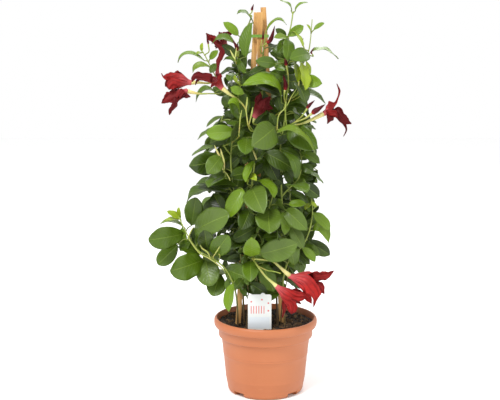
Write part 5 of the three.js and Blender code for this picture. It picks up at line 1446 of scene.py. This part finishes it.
def build_bloom(name, bloom):
    """Five petals, joined in a funnel up to the mouth and free beyond it."""
    rng = random.Random(name)
    mouth, tone = bloom["mouth"], bloom["tone"]
    start, centre, axis, first, second, spines, turns = bloom_frame(bloom["on"], mouth, bloom["lobes"])

    def around(middle, radius, turn):
        return middle + radius * (math.cos(turn) * first + math.sin(turn) * second)

    throat = start + axis * THROAT_LENGTH
    skin = Skin()
    for i, (_, spine, widths) in enumerate(spines):
        after = turns[(i + 1) % PETALS] + (2 * math.pi if i == PETALS - 1 else 0)
        before = turns[i - 1] - (2 * math.pi if i == 0 else 0)
        mids = [(before + turns[i]) / 2, turns[i], (turns[i] + after) / 2]
        columns = [[around(start - axis * TUBE_SINK, TUBE_RADIUS, mid), around(throat, THROAT_RADIUS, mid),
                    around(centre, bulge * mouth[3], mid)]
                   for mid, bulge in zip(mids, (1, MIDDLE_BULGE, 1))]
        across = unit(columns[2][2] - columns[0][2])
        for n, (point, width) in enumerate(zip(spine, widths)):
            back = columns[1][2] if n == 0 else spine[n - 1]
            onward = spine[n + 1] if n + 1 < len(spine) else point
            along = unit(onward - back)
            facing = unit(np.cross(along, [0, 1, 0]))
            if np.dot(facing, across) < 0:
                facing = -facing
            across = side_of(along, across + (facing - across) * LOBE_TWIST)
            reach = max(width, NARROWEST) / 2
            for column, side in zip(columns, (-1, 0, 1)):
                column.append(point + across * side * reach)
        sheet, uvs = [], []
        ruffle = [rng.uniform(0, TURN) for _ in range(6)]
        rows = SPAN_ROWS * (len(columns[0]) - 1)
        cup = rng.uniform(*CUP)
        for row in range(rows + 1):
            v = row / rows
            left, middle, right = (curve_point(column, v) for column in columns)
            spread = np.linalg.norm(right - left)
            lift = unit(np.cross(right - left, curve_point(columns[1], min(1, v + SLOPE_STEP))
                                 - curve_point(columns[1], max(0, v - SLOPE_STEP))))
            free = smoothstep(FREE_FROM, FREE_AT, v)
            for k in range(ROUND + 1):
                u = 2 * k / ROUND - 1
                point = left * (u * (u - 1) / 2) + middle * (1 - u * u) + right * (u * (u + 1) / 2)
                # Folds, creases and a torn edge, each from waves of its own.
                wave = 0.6 * math.sin(9 * v + ruffle[0] + 2 * u) + 0.5 * math.sin(21 * v + ruffle[1] - 2 * u)
                crease = 0.07 * math.cos(5 * u + ruffle[2]) + 0.03 * math.sin(11 * u + ruffle[3] + 3 * v)
                shift = wave * abs(u) ** 1.5 * WAVE_SHARE + cup * (u * u - 0.3) + crease
                ragged = 0.05 * math.sin(23 * v + ruffle[4]) + 0.035 * math.sin(47 * v + ruffle[5] + u)
                aside = (right - left) * ragged * abs(u) ** 3 * u
                sheet.append(point + (lift * shift * spread + aside) * free)
                uvs.append(((i + (u + 1) / 2) / PETALS, v))
        chance = rng.random()
        add_sheet(skin, np.array(sheet), uvs, ROUND + 1, PETAL_HALF, PETAL,
                  ((tone, 0, chance), (max(0, tone - SHADE), 0, chance)))
    skin.make("petals_" + name, name, "petal")


def add_sheet(skin, sheet, uvs, columns, half, material, tints):
    """A thin closed skin from a grid of points, with a tint for each face."""
    rows = len(sheet) // columns
    grid = sheet.reshape(rows, columns, 3)
    normals = np.cross(np.gradient(grid, axis=1), np.gradient(grid, axis=0))
    size = np.linalg.norm(normals, axis=2, keepdims=True)
    normals = np.where(size > 1e-6, normals / np.maximum(size, 1e-6), 0)
    up = (grid + normals * half).reshape(-1, 3)
    down = (grid - normals * half).reshape(-1, 3)
    count = rows * columns
    skin.add(np.vstack([up, down]), sum(sheet_faces(rows, columns), []), material,
             [tints[0]] * count + [tints[1]] * count, list(uvs) * 2)


for bloom_name, bloom_shape in BLOOMS.items():
    build_bloom(bloom_name, bloom_shape)


# ------------------------------------------------------------------ buds

# Each bud's stalk and arm, its tip as X, Z and depth, and its diameter.
BUDS = {
    "bud_top_left": ("stalk_bud_top_left", 0, -17.5, 556, -8, 3.5),
    "bud_top_front": ("stalk_bud_top", 1, 12, 526.5, -32, 6),
    "bud_top_thin": ("stalk_bud_top", 0, -4.7, 522, -31, 3),
    "bud_left": ("stalk_bud_left", 0, -47, 507, -27, 5),
    "bud_far_left": ("stalk_bud_far_left", 0, -83.5, 514, -22, 3),
    "bud_right_inner": ("stalk_right_high", 0, 27.7, 487, -30, 5),
    "bud_right_high": ("stalk_bud_right_high", 0, 67.6, 497, -23, 2.5),
    "bud_right_mid": ("stalk_bud_right", 0, 52, 509.5, -20, 2.4),
    "bud_right_dark": ("stalk_right_high", 1, 24, 460, -42, 6),
    "bud_right_low": ("stalk_right", 2, 69, 423, -50, 5),
    "bud_right_long": ("stalk_right", 1, 83.7, 417, -54, 7.5),
}


BUD_SINK, BUD_STEPS, BUD_SIDES = 0.4, 15, 15
BUD_RIDGES, RIDGE_SHARE, RIDGE_TWIST = 5, 0.1, 9
BUD_SHARES, BUD_RADII = (0, 0.25, 0.55, 0.85, 1), (0.45, 0.9, 1.0, 0.42, 0.06)


def build_bud(name, stalk, arm, x, z, y, diameter):
    """A closed bud: twisted, with five ridges, fullest in its lower half."""
    start, direction = ENDS[stalk][arm]
    start = start - direction * BUD_SINK
    tip = place(x, z, y)
    line = [start, start + direction * np.linalg.norm(tip - start) * 0.3, tip]
    radii = diameter / 2 * np.interp(np.linspace(0, 1, BUD_STEPS), BUD_SHARES, BUD_RADII)
    skin = Skin()
    add_tube(skin, sample_curve(line, BUD_STEPS), radii, BUD, BUD_SIDES,
             swell=lambda t, angle: RIDGE_SHARE * math.cos(BUD_RIDGES * angle - RIDGE_TWIST * t))
    skin.make("closed_" + name, name, "bud")


for bud_name, values in BUDS.items():
    build_bud(bud_name, *values)


# ------------------------------------------------------------------ pot

POT_TURNS = 144
NOTCH_HALF = 4             # in turns of the pot: 10 degrees each side of a notch's middle
NOTCH_INNER = 36
NOTCH_HEIGHT = 6.5
POT_FLOOR = 9
SHARP_EDGE = math.radians(38)
# Radius and height, from the foot up the outside, over the rim and down inside.
POT_PROFILE = [
    (50.5, 0), (52.6, 0.5), (54, 1.6), (54.9, 3.2), (55.3, 5), (55.5, NOTCH_HEIGHT), (56.2, 11.5)]
for ring in range(5):
    POT_PROFILE += [(56.5 + 0.42 * ring, 12.4 + 2.3 * ring), (56.75 + 0.42 * ring, 13.0 + 2.3 * ring),
                  (56.65 + 0.42 * ring, 14.1 + 2.3 * ring)]
POT_PROFILE += [
    (58.9, 30), (60.1, 42), (60.6, 48), (61.5, 55.4), (61.9, 56), (61.9, 56.8), (61.65, 57.6), (61.8, 58.4),
    (62.15, 59), (62.15, 59.8), (62.0, 60.6), (63.3, 71), (64.4, 79.6), (64.9, 80.6), (67.4, 82),
    (68.2, 82.4), (68.5, 83.2), (68.6, 94.4), (69.2, 95.4), (72, 96), (73.6, 96.8), (74.6, 98.8),
    (75, 101.5), (75, 104.5), (74.5, 106.8), (73.4, 108.3), (72, 109), (71, 108.7), (70.4, 107.6),
    (69.4, 102), (67.6, 96.5), (66.9, 95), (66.9, 83.6), (66.4, 82.6), (62.9, 81), (59, 48), (56.6, 24),
    (55, POT_FLOOR + 4), (52, POT_FLOOR)]


def build_pot():
    """The pot turned from its profile, with four notches cut up into its foot."""
    skin = Skin()
    turns = [2 * math.pi * k / POT_TURNS for k in range(POT_TURNS)]
    points = [np.array([r * math.cos(a), r * math.sin(a), z]) for r, z in POT_PROFILE for a in turns]
    notch_row = [i for i, (_, z) in enumerate(POT_PROFILE) if z == NOTCH_HEIGHT][0]
    middles = [POT_TURNS // 8 + i * POT_TURNS // 4 for i in range(4)]

    def in_notch(k):
        return any(-NOTCH_HALF <= k - middle < NOTCH_HALF for middle in middles)

    faces = []
    for i in range(len(POT_PROFILE) - 1):
        quads = band(i * POT_TURNS, (i + 1) * POT_TURNS, POT_TURNS)
        faces += [quad for k, quad in enumerate(quads) if i >= notch_row or not in_notch(k)]
    inside = len(points)
    points.append(np.array([0, 0, POT_FLOOR], float))
    last = (len(POT_PROFILE) - 1) * POT_TURNS
    faces += [[last + k, last + (k + 1) % POT_TURNS, inside] for k in range(POT_TURNS)]
    hub = len(points)
    points += [np.array([NOTCH_INNER * math.cos(a), NOTCH_INNER * math.sin(a), 0.0]) for a in turns]
    under = len(points)
    points.append(np.zeros(3))
    for k in range(POT_TURNS):
        n = (k + 1) % POT_TURNS
        faces.append([under, hub + n, hub + k])
        if not in_notch(k):
            faces.append([hub + k, hub + n, n, k])
    for middle in middles:
        ks = [middle + d for d in range(-NOTCH_HALF, NOTCH_HALF + 1)]
        roof = len(points)
        points += [points[hub + k] + np.array([0, 0, NOTCH_HEIGHT]) for k in ks]
        for d in range(len(ks) - 1):
            row = notch_row * POT_TURNS
            faces.append([roof + d, roof + d + 1, row + ks[d + 1], row + ks[d]])
            faces.append([hub + ks[d], hub + ks[d + 1], roof + d + 1, roof + d])
        for k, corner, flip in ((ks[0], roof, False), (ks[-1], roof + len(ks) - 1, True)):
            wall = [hub + k, corner] + [i * POT_TURNS + k for i in range(notch_row, -1, -1)]
            faces.append(wall if not flip else wall[::-1])
    skin.add(points, faces, POT)
    pot = skin.make("pot_shell", "pot", "pot_plastic")
    split = pot.modifiers.new("edges", "EDGE_SPLIT")
    split.split_angle = SHARP_EDGE


build_pot()


# ------------------------------------------------------------------ soil

SOIL_RADIUS = 67.7
SOIL_LOW = 88
SOIL_RINGS, SOIL_SIDES = 26, 96
# Crumbs and bark chips: count, least and largest size, tones, and how flat they are.
CRUMBS = [(900, 0.8, 2.4, (0, 0.25), 1.0), (190, 1.8, 4.4, (0.35, 0.95), 0.4)]


def add_lump(skin, rng, centre, size, tint, flat=1.0):
    """A rough crumb or chip: a few-sided ball, squeezed and knocked about."""
    points = []
    rows = [(-1, 1), (-0.45, 5), (0.45, 5), (1, 1)]      # height and count of each ring of points
    spin = rng.uniform(0, TURN)
    axes = [rng.uniform(0.7, 1.5), rng.uniform(0.5, 0.9), rng.uniform(0.45, 0.8) * flat]
    tilt = Vector((rng.uniform(-1, 1), rng.uniform(-1, 1), rng.uniform(-0.4, 0.4))) * 0.7
    turn = tilt.to_track_quat("Z", "Y") if tilt.length > 0.1 else Vector((0, 0, 1)).to_track_quat("Z", "Y")
    for height, count in rows:
        radius = math.sqrt(max(0, 1 - height * height))
        for k in range(count):
            angle = spin + 2 * math.pi * (k + 0.5 * (height > 0)) / count
            point = Vector((radius * math.cos(angle) * axes[0], radius * math.sin(angle) * axes[1],
                            height * axes[2])) * rng.uniform(0.8, 1.2)
            point.rotate(turn)
            points.append(centre + size * np.array(point))
    faces = [[0, 1 + (k + 1) % 5, 1 + k] for k in range(5)]
    faces += [[1 + k, 1 + (k + 1) % 5, 6 + (k + 1) % 5, 6 + k] for k in range(5)]
    faces += [[6 + k, 6 + (k + 1) % 5, 11] for k in range(5)]
    skin.add(points, faces, SOIL, tint)


def soil_height(x, y):
    """The height of the uneven surface."""
    return (SOIL_TOP + 0.9 * math.sin(x / 9 + 1) * math.cos(y / 8) + 0.7 * math.sin(x / 3.7 + y / 4.3)
            + 1.5 * (1 - math.hypot(x, y) / SOIL_RADIUS))


def build_soil():
    """The heap of potting mix, with crumbs and bark chips on it."""
    rng = random.Random("soil")
    skin = Skin()
    rings, sides = SOIL_RINGS, SOIL_SIDES
    points = [np.array([0, 0, soil_height(0, 0)])]
    for i in range(1, rings + 1):
        radius = SOIL_RADIUS * i / rings
        for k in range(sides):
            angle = 2 * math.pi * k / sides
            x, y = radius * math.cos(angle), radius * math.sin(angle)
            points.append(np.array([x, y, soil_height(x, y) + rng.uniform(-0.5, 0.5)]))
    faces = [[0, 1 + k, 1 + (k + 1) % sides] for k in range(sides)]
    for i in range(rings - 1):
        faces += [[d, a, b, c] for a, b, c, d in band(1 + (i + 1) * sides, 1 + i * sides, sides)]
    last = 1 + (rings - 1) * sides
    low = len(points)
    points += [np.array([points[last + k][0], points[last + k][1], SOIL_LOW]) for k in range(sides)]
    points.append(np.array([0, 0, SOIL_LOW], float))
    faces += [[d, a, b, c] for a, b, c, d in band(low, last, sides)]
    faces += [[low + k, len(points) - 1, low + (k + 1) % sides] for k in range(sides)]
    skin.add(points, faces, SOIL, (0.0, 0, 0))
    for count, small, large, tones, flat in CRUMBS:
        for _ in range(count):
            radius = (SOIL_RADIUS - 4) * math.sqrt(rng.random())
            angle = rng.uniform(0, 2 * math.pi)
            x, y = radius * math.cos(angle), radius * math.sin(angle)
            size = rng.uniform(small, large)
            tone = rng.uniform(*tones)
            centre = np.array([x, y, soil_height(x, y) + 0.2 * size])
            add_lump(skin, rng, centre, size, (tone, 0, 0), flat)
    skin.make("soil_surface", "soil", "potting_mix", smooth=False)


build_soil()


# ------------------------------------------------------------------ canes, tie and label

for bare, bare_material in (("cane_left", WOOD), ("cane_middle", WOOD), ("cane_right", WOOD), ("tie", TIE),
                            ("label", CARD)):
    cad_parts[bare].data.materials.clear()
    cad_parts[bare].data.materials.append(bare_material)

LABEL_X, LABEL_Y = -9, -52.45          # the card's middle and its face
PRINT_HEIGHT, PRINT_SINK = 0.12, 0.02
PANEL = (-15, 106, 29, 16)             # X from the card's middle, Z, width and height
BARS, BAR_STEP, BAR = 6, 3.6, (1.1, 11)
SQUARE, SQUARES = 2.2, ((11, 141), (11, 130), (-13, 143), (2, 146))


def add_print(skin, x, z, width, height, material):
    """A thin printed patch on the card's face."""
    low, high = LABEL_Y - PRINT_HEIGHT, LABEL_Y + PRINT_SINK
    corners = [(x, z), (x + width, z), (x + width, z + height), (x, z + height)]
    points = [np.array([LABEL_X + px, y, pz]) for y in (low, high) for px, pz in corners]
    faces = [[0, 1, 2, 3], [7, 6, 5, 4], [0, 4, 5, 1], [1, 5, 6, 2], [2, 6, 7, 3], [3, 7, 4, 0]]
    skin.add(points, faces, material)


def build_print():
    """A plain pattern in the card's colours: a pale blue panel, rows of bars and a few squares."""
    skin = Skin()
    add_print(skin, *PANEL, CARD_BLUE)
    for i in range(BARS):
        add_print(skin, -12.5 + BAR_STEP * i, 127, *BAR, CARD_RED)
    for x, z in SQUARES:
        add_print(skin, x, z, SQUARE, SQUARE, CARD_RED)
    skin.make("label_print", None, "label_card", smooth=False)


build_print()


# ------------------------------------------------------------------ floor

FLOOR_HALF, FLOOR_HEIGHT = 4000, -0.3
floor_corners = [(x * FLOOR_HALF, y * FLOOR_HALF, FLOOR_HEIGHT)
                 for x, y in ((-1, -1), (1, -1), (1, 1), (-1, 1))]
floor_mesh = bpy.data.meshes.new("studio_floor")
floor_mesh.from_pydata([tuple(np.array(corner) * MM) for corner in floor_corners], [], [(0, 1, 2, 3)])
floor_mesh.materials.append(floor_paint.material)
floor_object = bpy.data.objects.new("studio_floor", floor_mesh)
bpy.context.scene.collection.objects.link(floor_object)
